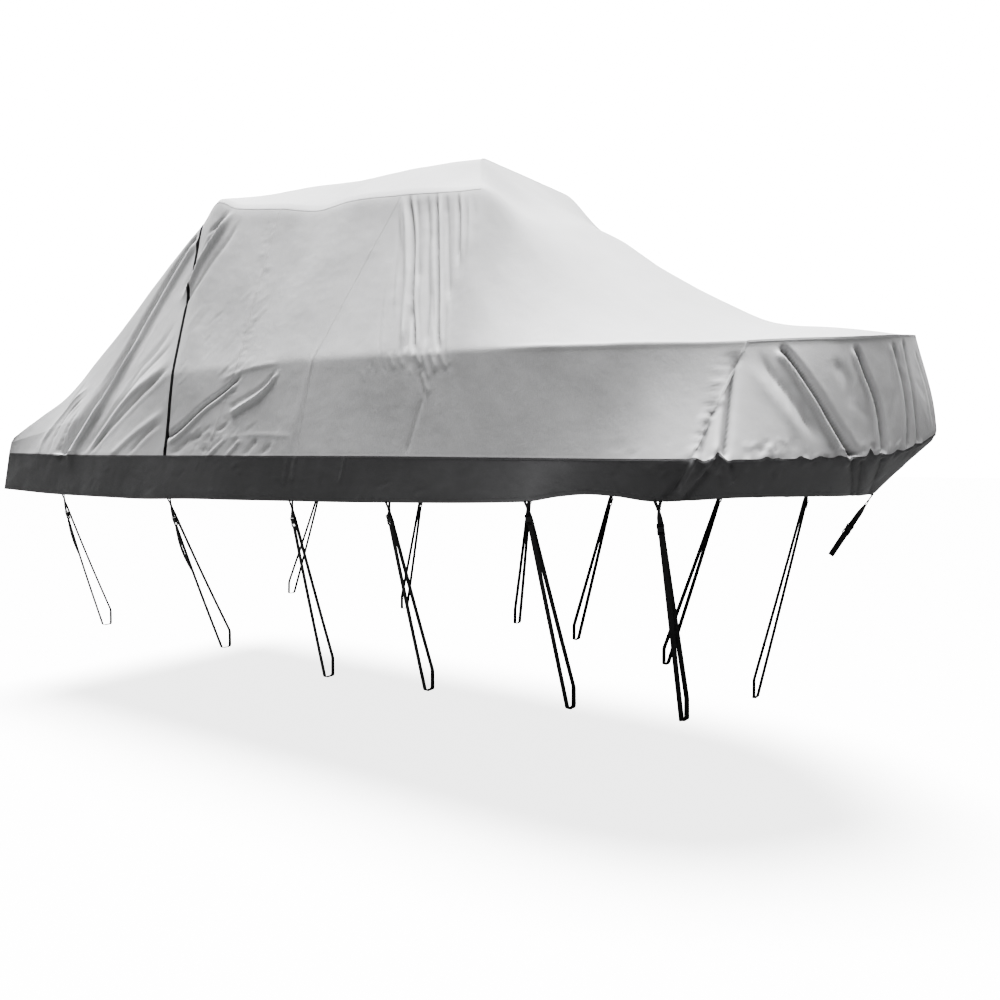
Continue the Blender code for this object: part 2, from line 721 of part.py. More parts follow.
def make_buckle(name, frame, start, collection):
    """Side-release buckle, closed: a rounded block in line with the tie's outer run."""
    bpy.ops.mesh.primitive_cube_add(size=1.0)
    obj = bpy.context.active_object
    obj.name = name
    obj.data.name = name
    for vertex in obj.data.vertices:
        across = vertex.co.x * BUCKLE_WIDTH
        down = start + (vertex.co.y + 0.5) * BUCKLE_LENGTH
        out = BUCKLE_STAND_OFF + vertex.co.z * BUCKLE_THICKNESS
        vertex.co = frame.at(across, down, out)
    bm = bmesh.new()
    bm.from_mesh(obj.data)
    bmesh.ops.recalc_face_normals(bm, faces=bm.faces[:])
    bm.to_mesh(obj.data)
    bm.free()
    bevel = obj.modifiers.new("rounded edges", "BEVEL")
    bevel.width = BUCKLE_EDGE_RADIUS
    bevel.segments = 2
    obj.data.materials.append(make_material("buckle_plastic"))
    for other in list(obj.users_collection):
        other.objects.unlink(obj)
    collection.objects.link(obj)
    return obj


def turning(frames, downs, outs):
    """Points down a tie from its tab's frame to its buckle's, with the direction across at each."""
    points = []
    for i, frame in enumerate(frames):
        share = i / max(len(frames) - 1, 1)
        point = frame.at(0.0, blend(*downs, share), blend(*outs, share))
        points.append((point, frame.across))
    return points


def make_loop(name, frames, buckle_start, beam, collection):
    """Webbing from the buckle's foot round the beam, up through the tab and back to the buckle."""
    tab_frame, buckle_frame = frames[0], frames[-1]
    hole_foot = TAB_LENGTH - TAB_FOOT_BAR
    half_turn = TAB_THICKNESS / 2 + WEBBING_THICKNESS / 2 + 2 * SEAM_GAP
    turn_height = hole_foot - WEBBING_THICKNESS / 2 - 2 * SEAM_GAP
    turn_foot = buckle_start - 2 * BUCKLE_APPROACH
    inner = turning(frames, (TAB_LENGTH + INNER_RUN_DROP, turn_foot), (-half_turn, -half_turn))
    outer = turning(
        frames, (TAB_LENGTH + OUTER_RUN_DROP, turn_foot), (half_turn + TURN_CORNER, BUCKLE_STAND_OFF),
    )
    lower = rounded_path([
        buckle_frame.at(0.0, buckle_start + BUCKLE_LENGTH + SEAM_GAP, BUCKLE_STAND_OFF),
        *beam, inner[-1][0],
    ], TURN_RADIUS)
    round_the_tab = (
        (TAB_LENGTH, -half_turn), (turn_height + TURN_CORNER, -half_turn),
        (turn_height, -half_turn + TURN_CORNER), (turn_height, half_turn - TURN_CORNER),
        (turn_height + TURN_CORNER, half_turn),
    )
    wide = [(point, buckle_frame.across) for point in lower[:-1]]
    gathered = inner[::-1]
    gathered += [(tab_frame.at(0.0, down, out), tab_frame.across) for down, out in round_the_tab]
    gathered += outer
    last = [
        (buckle_frame.at(0.0, buckle_start - drop, BUCKLE_STAND_OFF), buckle_frame.across)
        for drop in (BUCKLE_APPROACH, SEAM_GAP)
    ]
    path, acrosses = zip(*wide, *gathered, *last)
    widths = [WEBBING_WIDTH] * len(wide) + [GATHERED_WIDTH] * len(gathered) + [WEBBING_WIDTH] * len(last)
    add_object(f"strap_loop_{name}", ribbon(path, widths, acrosses, WEBBING_THICKNESS), "webbing", collection)


def make_tail(name, frame, buckle_start, length, slack, collection):
    """Free end of the webbing, which hangs from the buckle's foot in front of the loop."""
    start = buckle_start + BUCKLE_LENGTH + SEAM_GAP
    path = []
    for i in range(TAIL_STEPS + 1):
        share = i / TAIL_STEPS
        out = BUCKLE_STAND_OFF + TAIL_STAND_OFF + slack * math.sin(math.pi * share)
        path.append(frame.at(0.0, start + share * length, out))
    widths = [WEBBING_WIDTH] * len(path)
    bm = ribbon(path, widths, [frame.across] * len(path), WEBBING_THICKNESS)
    add_object(f"strap_tail_{name}", bm, "webbing", collection)


def make_tie(name, frames, buckle_start, beam, collection):
    """Tab, buckle and loop of one tie; beam holds the loop's foot, inner foot and inner top."""
    make_tab(f"strap_tab_{name}", frames[0], collection)
    make_buckle(f"strap_buckle_{name}", frames[-1], buckle_start, collection)
    make_loop(name, frames, buckle_start, beam, collection)
    for tie, length, slack in TAILS:
        if tie == name:
            make_tail(name, frames[-1], buckle_start, length, slack, collection)


def make_side_ties(form, collection):
    for name, along, buckle_start, beam_along, beam_half, beam_height in TIES:
        side = name.split("_")[0]
        inboard = -1.0 if side == "starboard" else 1.0
        top, hem_run = hem_edge(form, along, side)
        foot = to_model(beam_along, beam_half, beam_height)
        inner_foot = to_model(beam_along, beam_half + inboard * BEAM_WIDTH, beam_height)
        inner_top = to_model(beam_along, beam_half + inboard * BEAM_WIDTH, beam_height + BEAM_DEPTH)
        frames = [TieFrame(top, foot, hem_run * -inboard)]
        make_tie(name, frames, buckle_start, (foot, inner_foot, inner_top), collection)


def make_bow_tie(form, collection):
    top = form.vertices[(form.columns, float(HEM), "starboard")].co - Vector((0.0, 0.0, BOW_TAB_DROP))
    foot = to_model(*BOW_TIE_EYE)
    inner_foot = foot + Vector((0.0, BOW_TIE_EYE_WIDTH, 0.0))
    inner_top = inner_foot + (top - foot).normalized() * BOW_TIE_EYE_DEPTH
    frames = []
    for i in range(TURN_STEPS + 1):
        turn = BOW_TIE_TURN * i / TURN_STEPS
        frames.append(TieFrame(top, foot, Vector((0.0, 1.0, 0.0)), turn))
    make_tie("bow", frames, BOW_BUCKLE, (foot, inner_foot, inner_top), collection)


def main():
    for obj in list(bpy.data.objects):
        bpy.data.objects.remove(obj, do_unlink=True)
    collection = bpy.data.collections.new("boat_cover")
    bpy.context.scene.collection.children.link(collection)
    form = ClothForm()
    make_panels(form, collection)
    make_side_ties(form, collection)
    make_bow_tie(form, collection)
    form.bm.free()


main()
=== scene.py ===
"""Looks of a fitted cover for a boat with a raised hard top, held up by that top and tied down.

Lengths are metres. As in the part's source, the tables give places by three plain measures:
  along   distance forward of the stern seam corner
  half    distance out from the centreline (0 on the centreline)
  height  height above the ground
A fold's places are given on the side of the cover, as seen from beside it:
  round   distance from the stern measured round the side, which is also along as far as the bow
  height  height above the ground
"""

import json
import math
from collections import namedtuple

import bmesh
import bpy
import numpy as np
from mathutils import Matrix, Vector

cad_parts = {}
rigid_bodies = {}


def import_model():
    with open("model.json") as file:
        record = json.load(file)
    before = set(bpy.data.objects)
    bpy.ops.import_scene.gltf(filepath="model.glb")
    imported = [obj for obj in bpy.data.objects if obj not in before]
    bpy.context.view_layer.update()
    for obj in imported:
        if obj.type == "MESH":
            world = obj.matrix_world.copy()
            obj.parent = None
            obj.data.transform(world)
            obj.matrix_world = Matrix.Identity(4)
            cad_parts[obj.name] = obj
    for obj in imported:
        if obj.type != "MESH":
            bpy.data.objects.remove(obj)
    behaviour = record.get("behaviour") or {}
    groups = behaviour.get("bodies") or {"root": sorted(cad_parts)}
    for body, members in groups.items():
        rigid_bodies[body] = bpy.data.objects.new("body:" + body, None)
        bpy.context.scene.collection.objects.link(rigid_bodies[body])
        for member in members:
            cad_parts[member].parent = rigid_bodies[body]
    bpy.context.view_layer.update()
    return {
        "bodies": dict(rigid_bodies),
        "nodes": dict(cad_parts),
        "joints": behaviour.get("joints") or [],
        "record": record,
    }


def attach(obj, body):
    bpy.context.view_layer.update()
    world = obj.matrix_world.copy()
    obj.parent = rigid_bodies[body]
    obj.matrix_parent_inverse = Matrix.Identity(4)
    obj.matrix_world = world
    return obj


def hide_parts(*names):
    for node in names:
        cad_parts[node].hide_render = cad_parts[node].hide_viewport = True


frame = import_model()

BODY = "root"

# ---------------------------------------------------------------- driving dimensions
ORIGIN_ALONG = 2.85
ORIGIN_HEIGHT = 3.44
CLOTH_THICKNESS = 0.0015

# The cover's lines run from the stern to the bow. Each is a table of (along, half, height).
LINES = {
    # top line on the centreline: up the stern slope, over the roof, down to the bow
    "centre": (
        (0.065, 0.0, 1.900), (0.50, 0.0, 2.170), (1.00, 0.0, 2.680), (1.50, 0.0, 3.115),
        (1.84, 0.0, 3.345), (1.95, 0.0, 3.445), (2.40, 0.0, 3.462), (3.00, 0.0, 3.440),
        (3.60, 0.0, 3.405), (3.72, 0.0, 3.385), (3.76, 0.0, 3.345), (4.00, 0.0, 3.130),
        (4.30, 0.0, 2.935), (4.57, 0.0, 2.748), (4.89, 0.0, 2.554), (5.12, 0.0, 2.428),
        (5.26, 0.0, 2.380), (5.43, 0.0, 2.352), (5.57, 0.0, 2.334), (5.85, 0.0, 2.290),
    ),
    # edge of the flat crown, which runs forward to a point as a ridge
    "crown": (
        (0.065, 0.72, 1.890), (0.50, 0.64, 2.155), (1.00, 0.58, 2.665), (1.50, 0.55, 3.100),
        (1.84, 0.54, 3.330), (1.95, 0.53, 3.434), (2.10, 0.51, 3.448), (2.73, 0.50, 3.417),
        (3.60, 0.49, 3.388), (3.72, 0.48, 3.383), (3.76, 0.455, 3.340), (3.98, 0.30, 3.130),
        (4.25, 0.19, 2.970), (4.57, 0.07, 2.745), (4.89, 0.05, 2.552), (5.26, 0.05, 2.379),
        (5.57, 0.04, 2.333), (5.76, 0.03, 2.304), (5.85, 0.0, 2.290),
    ),
    # stern corner ridge, then the hard top's edge, then the shoulder of the foredeck
    "edge": (
        (0.065, 1.19, 1.854), (0.30, 1.12, 2.004), (0.50, 1.05, 2.135), (0.73, 0.96, 2.390),
        (1.005, 0.89, 2.649), (1.285, 0.84, 2.928), (1.705, 0.81, 3.238), (1.935, 0.85, 3.350),
        (2.10, 0.845, 3.285), (2.50, 0.84, 3.220), (2.85, 0.83, 3.162), (3.05, 0.83, 3.180),
        (3.45, 0.82, 3.155), (3.84, 0.80, 3.115), (3.95, 0.79, 3.110), (4.15, 0.72, 2.930),
        (4.50, 0.58, 2.690), (4.90, 0.42, 2.480), (5.26, 0.30, 2.350), (5.57, 0.18, 2.315),
        (5.76, 0.09, 2.300), (5.85, 0.0, 2.290),
    ),
    # side line: only a guide at the stern, then the sharp fold over the boat's rail
    "rail": (
        (0.03, 1.195, 1.815), (0.60, 1.140, 1.930), (1.20, 1.105, 2.090), (1.86, 1.135, 2.230),
        (2.80, 1.135, 2.250), (3.60, 1.148, 2.238), (4.00, 1.145, 2.230), (4.35, 1.12, 2.229),
        (4.75, 1.035, 2.222), (4.90, 0.95, 2.224), (5.285, 0.635, 2.238), (5.60, 0.385, 2.256),
        (5.72, 0.27, 2.268), (5.81, 0.13, 2.282), (5.85, 0.0, 2.290),
    ),
    # seam between the body cloth and the dark band
    "seam": (
        (0.00, 1.195, 1.741), (0.60, 1.20, 1.732), (1.50, 1.20, 1.725), (3.60, 1.19, 1.726),
        (4.20, 1.165, 1.723), (4.68, 1.115, 1.720), (4.98, 1.045, 1.718), (5.185, 0.95, 1.716),
        (5.445, 0.745, 1.717), (5.66, 0.46, 1.724), (5.80, 0.24, 1.738), (5.89, 0.085, 1.790),
        (5.94, 0.0, 1.833),
    ),
    # lower edge of the dark band, drawn down at each tie and arched up between ties 5 and 6
    "hem": (
        (-0.09, 1.185, 1.476), (0.72, 1.19, 1.456), (1.50, 1.19, 1.454), (2.10, 1.19, 1.470),
        (2.96, 1.18, 1.484), (3.66, 1.18, 1.500), (4.47, 1.17, 1.530), (4.62, 1.14, 1.556),
        (4.75, 1.11, 1.568), (4.86, 1.08, 1.562), (5.02, 1.02, 1.542), (5.115, 0.95, 1.546),
        (5.29, 0.78, 1.556), (5.54, 0.42, 1.555), (5.63, 0.20, 1.550), (5.66, 0.0, 1.547),
    ),
}
LINE_ORDER = ("centre", "crown", "edge", "rail", "seam", "hem")
CENTRE, CROWN, EDGE, RAIL, SEAM, HEM = range(6)

# Where each key column of the cloth crosses the lines (along), with the cells up to the next one.
KEY_COLUMNS = (
    # name           centre crown  edge   rail   seam   hem    cells
    ("stern",        0.065, 0.065, 0.065, 0.030, 0.000, -0.090, 120),
    ("zip_aft",      1.835, 1.835, 1.700, 1.846, 1.848, 1.848, 3),
    ("zip_forward",  1.863, 1.863, 1.728, 1.874, 1.876, 1.876, 14),
    ("top_aft",      1.950, 1.950, 1.935, 1.950, 1.950, 1.950, 44),
    ("pucker_seam",  2.500, 2.500, 2.500, 2.450, 2.280, 2.280, 50),
    ("plain_seam",   3.280, 3.280, 3.440, 3.090, 3.010, 3.000, 120),
    ("top_front",    3.720, 3.720, 3.950, 4.020, 4.050, 4.050, 58),
    ("bow_seam",     5.260, 5.260, 5.260, 5.285, 5.155, 5.060, 140),
    ("bow_tip",      5.850, 5.850, 5.850, 5.850, 5.940, 5.660, 0),
)

# Cells between neighbouring lines, from the centreline out and down.
CELLS_BETWEEN_LINES = (12, 16, 74, 48, 22)
# Half length, in line steps, of the soft turn of the cloth over each line.
TURN_AT_LINE = {CROWN: 0.12, EDGE: 0.08, RAIL: 0.03, SEAM: 0.05}
# The shoulder of the foredeck is a wide soft turn that starts forward of the hard top.
SHOULDER_START = 3.95
SHOULDER_END = 4.60
SHOULDER_TURN = 0.45
# The cloth sags between the crown and the hard top's front corner.
CORNER_SAG = 0.045
CORNER_SAG_ALONG = 3.87
CORNER_SAG_LENGTH = 0.20
# The tip line bulges forward between the rail and the band, most of all low down.
TIP_BULGE = 0.014
TIP_BULGE_LENGTH = 0.25
TIP_BULGE_DROP = 1.4
# The columns close up to a point at the tip: there the cloth faces forward and a little up.
TIP_FACING = (1.0, 0.0, 0.3)
LEAST_AREA = 1e-9
LEAST_LENGTH = 1e-12


# ---------------------------------------------------------------- small helpers
def ease(x):
    """Smooth step from 0 to 1 as x goes from 0 to 1."""
    x = np.clip(x, 0.0, 1.0)
    return x * x * (3.0 - 2.0 * x)


def bell(distance, width):
    """Bell curve: 1 in the middle, fading over its width."""
    return np.exp(-((distance / width) ** 2))


def unit(vectors):
    """Vectors of length 1; a vector of no length stays as it is."""
    length = np.linalg.norm(vectors, axis=-1, keepdims=True)
    return vectors / np.maximum(length, LEAST_LENGTH)


def sign_of(side):
    """Sign of the model's Y on this side of the cover."""
    return -1.0 if side == "starboard" else 1.0


def direction_to_model(directions, side):
    """Model coordinates of (along, half, height) directions on one side of the cover."""
    out = np.array(directions, float)
    out[..., 1] *= sign_of(side)
    return out


def to_model(points, side):
    """The same for points."""
    out = direction_to_model(points, side)
    out[..., 0] -= ORIGIN_ALONG
    out[..., 2] -= ORIGIN_HEIGHT
    return out


def lengths_along(points, axis=0):
    """Distance from the first point along an axis of a grid or a path, through its points."""
    steps = np.linalg.norm(np.diff(points, axis=axis), axis=-1)
    start = np.zeros_like(np.take(steps, [0], axis=axis))
    return np.concatenate([start, np.cumsum(steps, axis=axis)], axis=axis)


def read_at(values, distances, places):
    """Values that are given at distances along a run, read at other places along it."""
    return np.stack([np.interp(places, distances, column) for column in values.T], axis=-1)


# ---------------------------------------------------------------- form of the cloth
def slopes(rows, column):
    """Slope of a table's column against along at each row, flat at a peak so nothing overshoots."""
    steps = []
    for row, following in zip(rows, rows[1:]):
        steps.append((following[column] - row[column]) / (following[0] - row[0]))
    inner = []
    for before, after in zip(steps, steps[1:]):
        inner.append(0.0 if before * after <= 0.0 else 2.0 * before * after / (before + after))
    return np.array([steps[0], *inner, steps[-1]])


def read_line(name, along):
    """Points of a line at distances along, on a smooth curve through its rows."""
    rows = LINES[name]
    starts = np.array([row[0] for row in rows])
    along = np.clip(along, starts[0], starts[-1])
    i = np.clip(np.searchsorted(starts, along, side="right") - 1, 0, len(rows) - 2)
    span = starts[i + 1] - starts[i]
    t = (along - starts[i]) / span
    columns = [along]
    for column in (1, 2):
        values = np.array([row[column] for row in rows])
        slope = slopes(rows, column)
        columns.append(
            (2 * t**3 - 3 * t**2 + 1) * values[i]
            + (t**3 - 2 * t**2 + t) * slope[i] * span
            + (3 * t**2 - 2 * t**3) * values[i + 1]
            + (t**3 - t**2) * slope[i + 1] * span
        )
    return np.stack(columns, axis=-1)


def column_number(name):
    """Number of the key column with this name."""
    count = 0
    for row in KEY_COLUMNS:
        if row[0] == name:
            return count
        count += row[-1]
    raise KeyError(name)


def row_number(line):
    """Number of the row on this line."""
    return sum(CELLS_BETWEEN_LINES[:line])


def lines_of_columns():
    """Points where every column crosses every line, as an array (column, line, 3)."""
    alongs = []
    for this, following in zip(KEY_COLUMNS, KEY_COLUMNS[1:]):
        share = np.arange(this[-1])[:, None] / this[-1]
        if following is KEY_COLUMNS[-1]:
            share = np.sin(share * math.pi / 2)
        start = np.array(this[1:-1])
        end = np.array(following[1:-1])
        alongs.append(start + (end - start) * share)
    alongs = np.concatenate(alongs + [np.array([KEY_COLUMNS[-1][1:-1]])])
    crossings = [read_line(name, alongs[:, i]) for i, name in enumerate(LINE_ORDER)]
    return np.stack(crossings, axis=1)


def straight_points(crossings, place):
    """Points of every column at a place; place 2.4 is 0.4 of the way from line 2 to 3."""
    place = np.broadcast_to(place, crossings.shape[:1])
    line = np.minimum(place.astype(int), HEM - 1)
    share = place - line
    columns = np.arange(len(line))
    start = crossings[columns, line]
    points = start + (crossings[columns, line + 1] - start) * share[:, None]
    sag = CORNER_SAG * bell(points[:, 0] - CORNER_SAG_ALONG, CORNER_SAG_LENGTH)
    points[:, 2] -= np.where(line == CROWN, sag * np.sin(math.pi * share), 0.0)
    return points


def unfolded_side():
    """Points of one side before its folds, as an array (column, row, 3) of plain measures."""
    crossings = lines_of_columns()
    rows = []
    for place in places_of_rows():
        points = straight_points(crossings, place)
        line = round(place)
        if line in TURN_AT_LINE:
            turn = np.full(len(points), TURN_AT_LINE[line])
            if line == EDGE:
                share = (crossings[:, EDGE, 0] - SHOULDER_START) / (SHOULDER_END - SHOULDER_START)
                turn += (SHOULDER_TURN - turn) * ease(share)
            share = ((place - line + turn) / (2 * turn))[:, None]
            corner = crossings[:, line]
            before = straight_points(crossings, line - turn)
            after = straight_points(crossings, line + turn)
            into = before + (corner - before) * share
            out_of = corner + (after - corner) * share
            turned = into + (out_of - into) * share
            points = np.where(np.abs(place - line) < turn[:, None], turned, points)
        rows.append(points)
    return np.stack(rows, axis=1)


def places_of_rows():
    """The places of the cloth's rows, from the centreline (0) to the hem (5)."""
    rows = []
    for line, cells in enumerate(CELLS_BETWEEN_LINES):
        rows += [line + i / cells for i in range(cells)]
    return rows + [float(HEM)]


def normals_of(points):
    """Outward unit normals of a side's grid, in plain measures."""
    forward = np.gradient(points, axis=0)
    down = np.gradient(points, axis=1)
    normals = np.cross(forward, down)
    normals[np.linalg.norm(normals, axis=-1) < LEAST_AREA] = TIP_FACING
    normals[:, 0, 1] = 0.0
    normals[-1, :, 1] = 0.0
    return unit(normals)


# ---------------------------------------------------------------- folds
# Folds of the sides, each along a path of (round, height) that runs downward. The shapes are
#   ridge    a rounded crest, or a rounded valley with a depth below zero
#   crease   a narrow crest, or a narrow valley with a depth below zero
#   left     a sharp edge with a wide wall on the left of the path and a steep one on its right
#   right    the same the other way round; with a depth below zero both are a sharp valley
# The width goes from width1 to width2 down the path, and both ends fade over the length fade.
SIDE_FOLDS = (
    # name, shape, depth, width1, width2, fade, path
    ("stern_tuck", "right", -0.085, 0.07, 0.11, 0.1,
     ((1.74, 3.18), (1.54, 2.94), (1.32, 2.64), (1.11, 2.32), (0.93, 2.04), (0.79, 1.84), (0.67, 1.66))),
    ("stern_crest", "crease", 0.012, 0.014, 0.012, 0.25,
     ((1.38, 2.56), (1.25, 2.38), (1.13, 2.18), (0.99, 1.96), (0.8, 1.67))),
    ("stern_line_1", "crease", 0.01, 0.012, 0.011, 0.15,
     ((0.8, 2.21), (0.66, 2.11), (0.58, 2.02), (0.45, 1.85), (0.4, 1.68))),
    ("stern_line_2", "right", -0.012, 0.026, 0.02, 0.12,
     ((0.77, 2.13), (0.65, 2.02), (0.57, 1.86), (0.53, 1.68))),
    ("stern_line_3", "right", -0.013, 0.024, 0.02, 0.1, ((0.77, 2.05), (0.7, 1.9), (0.62, 1.68))),
    ("stern_line_4", "crease", 0.008, 0.012, 0.012, 0.12, ((1.06, 2.1), (0.92, 1.93), (0.72, 1.68))),
    ("stern_soft_1", "ridge", 0.01, 0.028, 0.022, 0.2,
     ((1.81, 2.35), (1.71, 2.27), (1.41, 2.12), (1.21, 1.97), (1.0, 1.69))),
    ("stern_soft_2", "right", -0.01, 0.07, 0.046, 0.2,
     ((1.79, 2.43), (1.61, 2.32), (1.36, 2.15), (1.13, 1.93), (0.92, 1.69))),
    ("stern_soft_3", "right", -0.01, 0.046, 0.036, 0.15,
     ((1.82, 2.28), (1.68, 2.19), (1.49, 2.08), (1.21, 1.89), (1.0, 1.69))),
    ("stern_soft_4", "right", -0.007, 0.07, 0.06, 0.2,
     ((1.76, 2.6), (1.63, 2.42), (1.43, 2.27), (1.26, 2.09))),
    ("stern_soft_5", "ridge", 0.008, 0.026, 0.022, 0.15,
     ((1.83, 2.01), (1.66, 1.93), (1.48, 1.84), (1.25, 1.69))),
    ("stern_soft_6", "right", -0.008, 0.04, 0.03, 0.15, ((1.82, 1.94), (1.64, 1.85), (1.44, 1.69))),
    ("top_crest", "left", 0.03, 0.045, 0.07, 0.18,
     ((2.16, 3.3), (2.04, 3.12), (1.93, 2.97), (1.86, 2.88), (1.8, 2.8), (1.72, 2.7))),
    ("top_line", "crease", -0.009, 0.012, 0.012, 0.2,
     ((2.24, 3.22), (2.14, 3.06), (2.03, 2.93), (1.94, 2.81), (1.84, 2.73), (1.74, 2.6))),
    ("top_tuck", "right", -0.012, 0.03, 0.026, 0.08, ((2.13, 3.29), (2.06, 3.2), (1.91, 3.11))),
    ("rail_crease", "crease", 0.006, 0.01, 0.014, 0.1,
     ((2.84, 2.24), (2.63, 2.23), (2.45, 2.2), (2.32, 2.16))),
    ("aft_tuck_1", "right", -0.032, 0.026, 0.042, 0.1,
     ((2.52, 2.19), (2.37, 2.1), (2.19, 2.01), (2.0, 1.9), (1.84, 1.82))),
    ("aft_tuck_2", "left", 0.018, 0.026, 0.045, 0.08,
     ((2.84, 2.2), (2.73, 2.1), (2.61, 2.04), (2.54, 2.01), (2.43, 1.96))),
    ("aft_spot", "ridge", -0.006, 0.01, 0.01, 0.03, ((2.44, 1.92), (2.38, 1.88), (2.33, 1.87))),
    ("band_fold_1", "left", 0.009, 0.02, 0.024, 0.04, ((2.44, 1.83), (2.36, 1.78), (2.25, 1.7))),
    ("band_fold_2", "left", 0.008, 0.018, 0.022, 0.04, ((2.56, 1.83), (2.5, 1.77), (2.42, 1.7))),
    ("band_fold_3", "ridge", -0.006, 0.016, 0.02, 0.04, ((2.7, 1.82), (2.64, 1.77), (2.56, 1.7))),
    ("band_fold_4", "ridge", -0.005, 0.014, 0.018, 0.04, ((2.83, 1.8), (2.77, 1.76), (2.69, 1.7))),
    ("band_fold_5", "ridge", -0.007, 0.022, 0.028, 0.05, ((2.22, 1.85), (2.05, 1.8), (1.9, 1.7))),
    ("level_line", "crease", 0.003, 0.009, 0.009, 0.1, ((2.4, 1.83), (2.7, 1.845), (2.99, 1.835))),
    ("long_crease", "crease", 0.003, 0.008, 0.008, 0.1,
     ((3.12, 2.4), (3.09, 2.26), (3.03, 2.02), (2.93, 1.7))),
    ("long_crease_2", "crease", 0.002, 0.008, 0.008, 0.1, ((3.06, 2.24), (3.01, 2.04), (2.9, 1.7))),
    ("front_tuck_1", "right", -0.032, 0.03, 0.026, 0.08,
     ((3.53, 3.22), (3.57, 3.06), (3.63, 2.86), (3.71, 2.52), (3.77, 2.35), (3.81, 2.22))),
    ("front_tuck_2", "right", -0.032, 0.028, 0.024, 0.08,
     ((3.71, 3.22), (3.79, 2.84), (3.88, 2.5), (3.92, 2.35), (3.96, 2.22))),
    ("front_tuck_3", "right", -0.024, 0.026, 0.026, 0.12, ((3.84, 3.22), (3.91, 2.92), (3.96, 2.66))),
    ("front_line_1", "ridge", 0.012, 0.016, 0.014, 0.12,
     ((3.48, 3.22), (3.57, 2.92), (3.67, 2.52), (3.73, 2.24))),
    ("front_line_2", "crease", -0.011, 0.011, 0.011, 0.06, ((3.71, 2.5), (3.75, 2.23))),
    ("front_line_3", "crease", -0.016, 0.012, 0.012, 0.1,
     ((3.65, 3.22), (3.76, 2.72), (3.83, 2.45), (3.87, 2.24))),
    ("front_line_4", "crease", -0.014, 0.012, 0.012, 0.12, ((3.77, 3.22), (3.87, 2.78), (3.96, 2.46))),
    ("front_line_5", "crease", -0.011, 0.011, 0.011, 0.1, ((3.58, 3.22), (3.68, 2.78), (3.74, 2.58))),
    ("knee_1", "crease", 0.007, 0.01, 0.01, 0.03, ((3.8, 2.25), (3.83, 2.21), (3.86, 2.16))),
    ("knee_2", "crease", 0.007, 0.01, 0.01, 0.04, ((3.85, 2.25), (3.88, 2.18), (3.91, 2.09))),
    ("knee_3", "crease", 0.006, 0.01, 0.01, 0.03, ((3.895, 2.25), (3.92, 2.2), (3.95, 2.13))),
    ("knee_4", "crease", 0.006, 0.01, 0.01, 0.03, ((3.955, 2.25), (3.98, 2.2), (4.02, 2.14))),
    ("knee_5", "crease", 0.006, 0.01, 0.01, 0.03, ((3.86, 2.14), (3.88, 2.09), (3.91, 2.02))),
    ("knee_6", "crease", -0.005, 0.01, 0.01, 0.03, ((3.84, 2.14), (3.86, 2.08), (3.88, 2.01))),
    ("knee_7", "crease", 0.004, 0.01, 0.01, 0.03, ((3.7, 2.25), (3.72, 2.21), (3.75, 2.16))),
    ("knee_8", "crease", 0.004, 0.01, 0.01, 0.03, ((3.64, 2.25), (3.66, 2.21), (3.69, 2.15))),
    ("knee_crease", "crease", -0.005, 0.01, 0.01, 0.06, ((3.88, 2.04), (3.83, 1.9), (3.77, 1.72))),
    ("rail_lip", "ridge", 0.006, 0.01, 0.012, 0.4,
     ((4.2, 2.229), (4.36, 2.229), (4.77, 2.222), (4.94, 2.224),
      (5.42, 2.238), (5.82, 2.256), (6.15, 2.282), (6.3, 2.29))),
    ("bow_crest_0", "ridge", 0.01, 0.022, 0.018, 0.08,
     ((5.4, 2.18), (5.33, 2.04), (5.3, 1.88), (5.28, 1.7))),
    ("bow_edge", "crease", -0.024, 0.014, 0.011, 0.06,
     ((5.4, 2.2), (5.36, 2.07), (5.34, 1.92), (5.325, 1.7))),
    ("bow_soft", "left", -0.02, 0.08, 0.06, 0.14,
     ((5.47, 2.2), (5.54, 2.08), (5.62, 1.98), (5.76, 1.78))),
    ("bow_tuck_1", "left", -0.08, 0.032, 0.048, 0.06,
     ((5.57, 2.22), (5.64, 2.13), (5.73, 2.0), (5.84, 1.85), (5.99, 1.68))),
    ("bow_mid", "ridge", -0.008, 0.024, 0.02, 0.08, ((5.8, 2.17), (5.88, 2.07), (5.91, 1.93))),
    ("bow_tuck_2", "left", -0.05, 0.024, 0.034, 0.06,
     ((5.915, 2.23), (5.97, 2.1), (6.03, 1.98), (6.08, 1.84), (6.13, 1.68))),
    ("tip_tuck_1", "left", -0.018, 0.026, 0.026, 0.05,
     ((6.12, 2.25), (6.18, 2.08), (6.23, 1.89), (6.27, 1.7))),
    ("tip_tuck_2", "left", -0.016, 0.022, 0.022, 0.05,
     ((6.19, 2.27), (6.23, 2.08), (6.28, 1.9), (6.35, 1.72))),
    ("tip_tuck_3", "left", -0.012, 0.018, 0.018, 0.05,
     ((6.28, 2.22), (6.33, 2.08), (6.37, 1.96), (6.41, 1.86))),
    ("seam_line_1", "crease", -0.009, 0.012, 0.012, 0.05, ((5.28, 1.95), (5.25, 1.84), (5.22, 1.7))),
    ("seam_line_2", "crease", 0.008, 0.012, 0.012, 0.05, ((5.25, 1.94), (5.21, 1.8), (5.19, 1.7))),
)
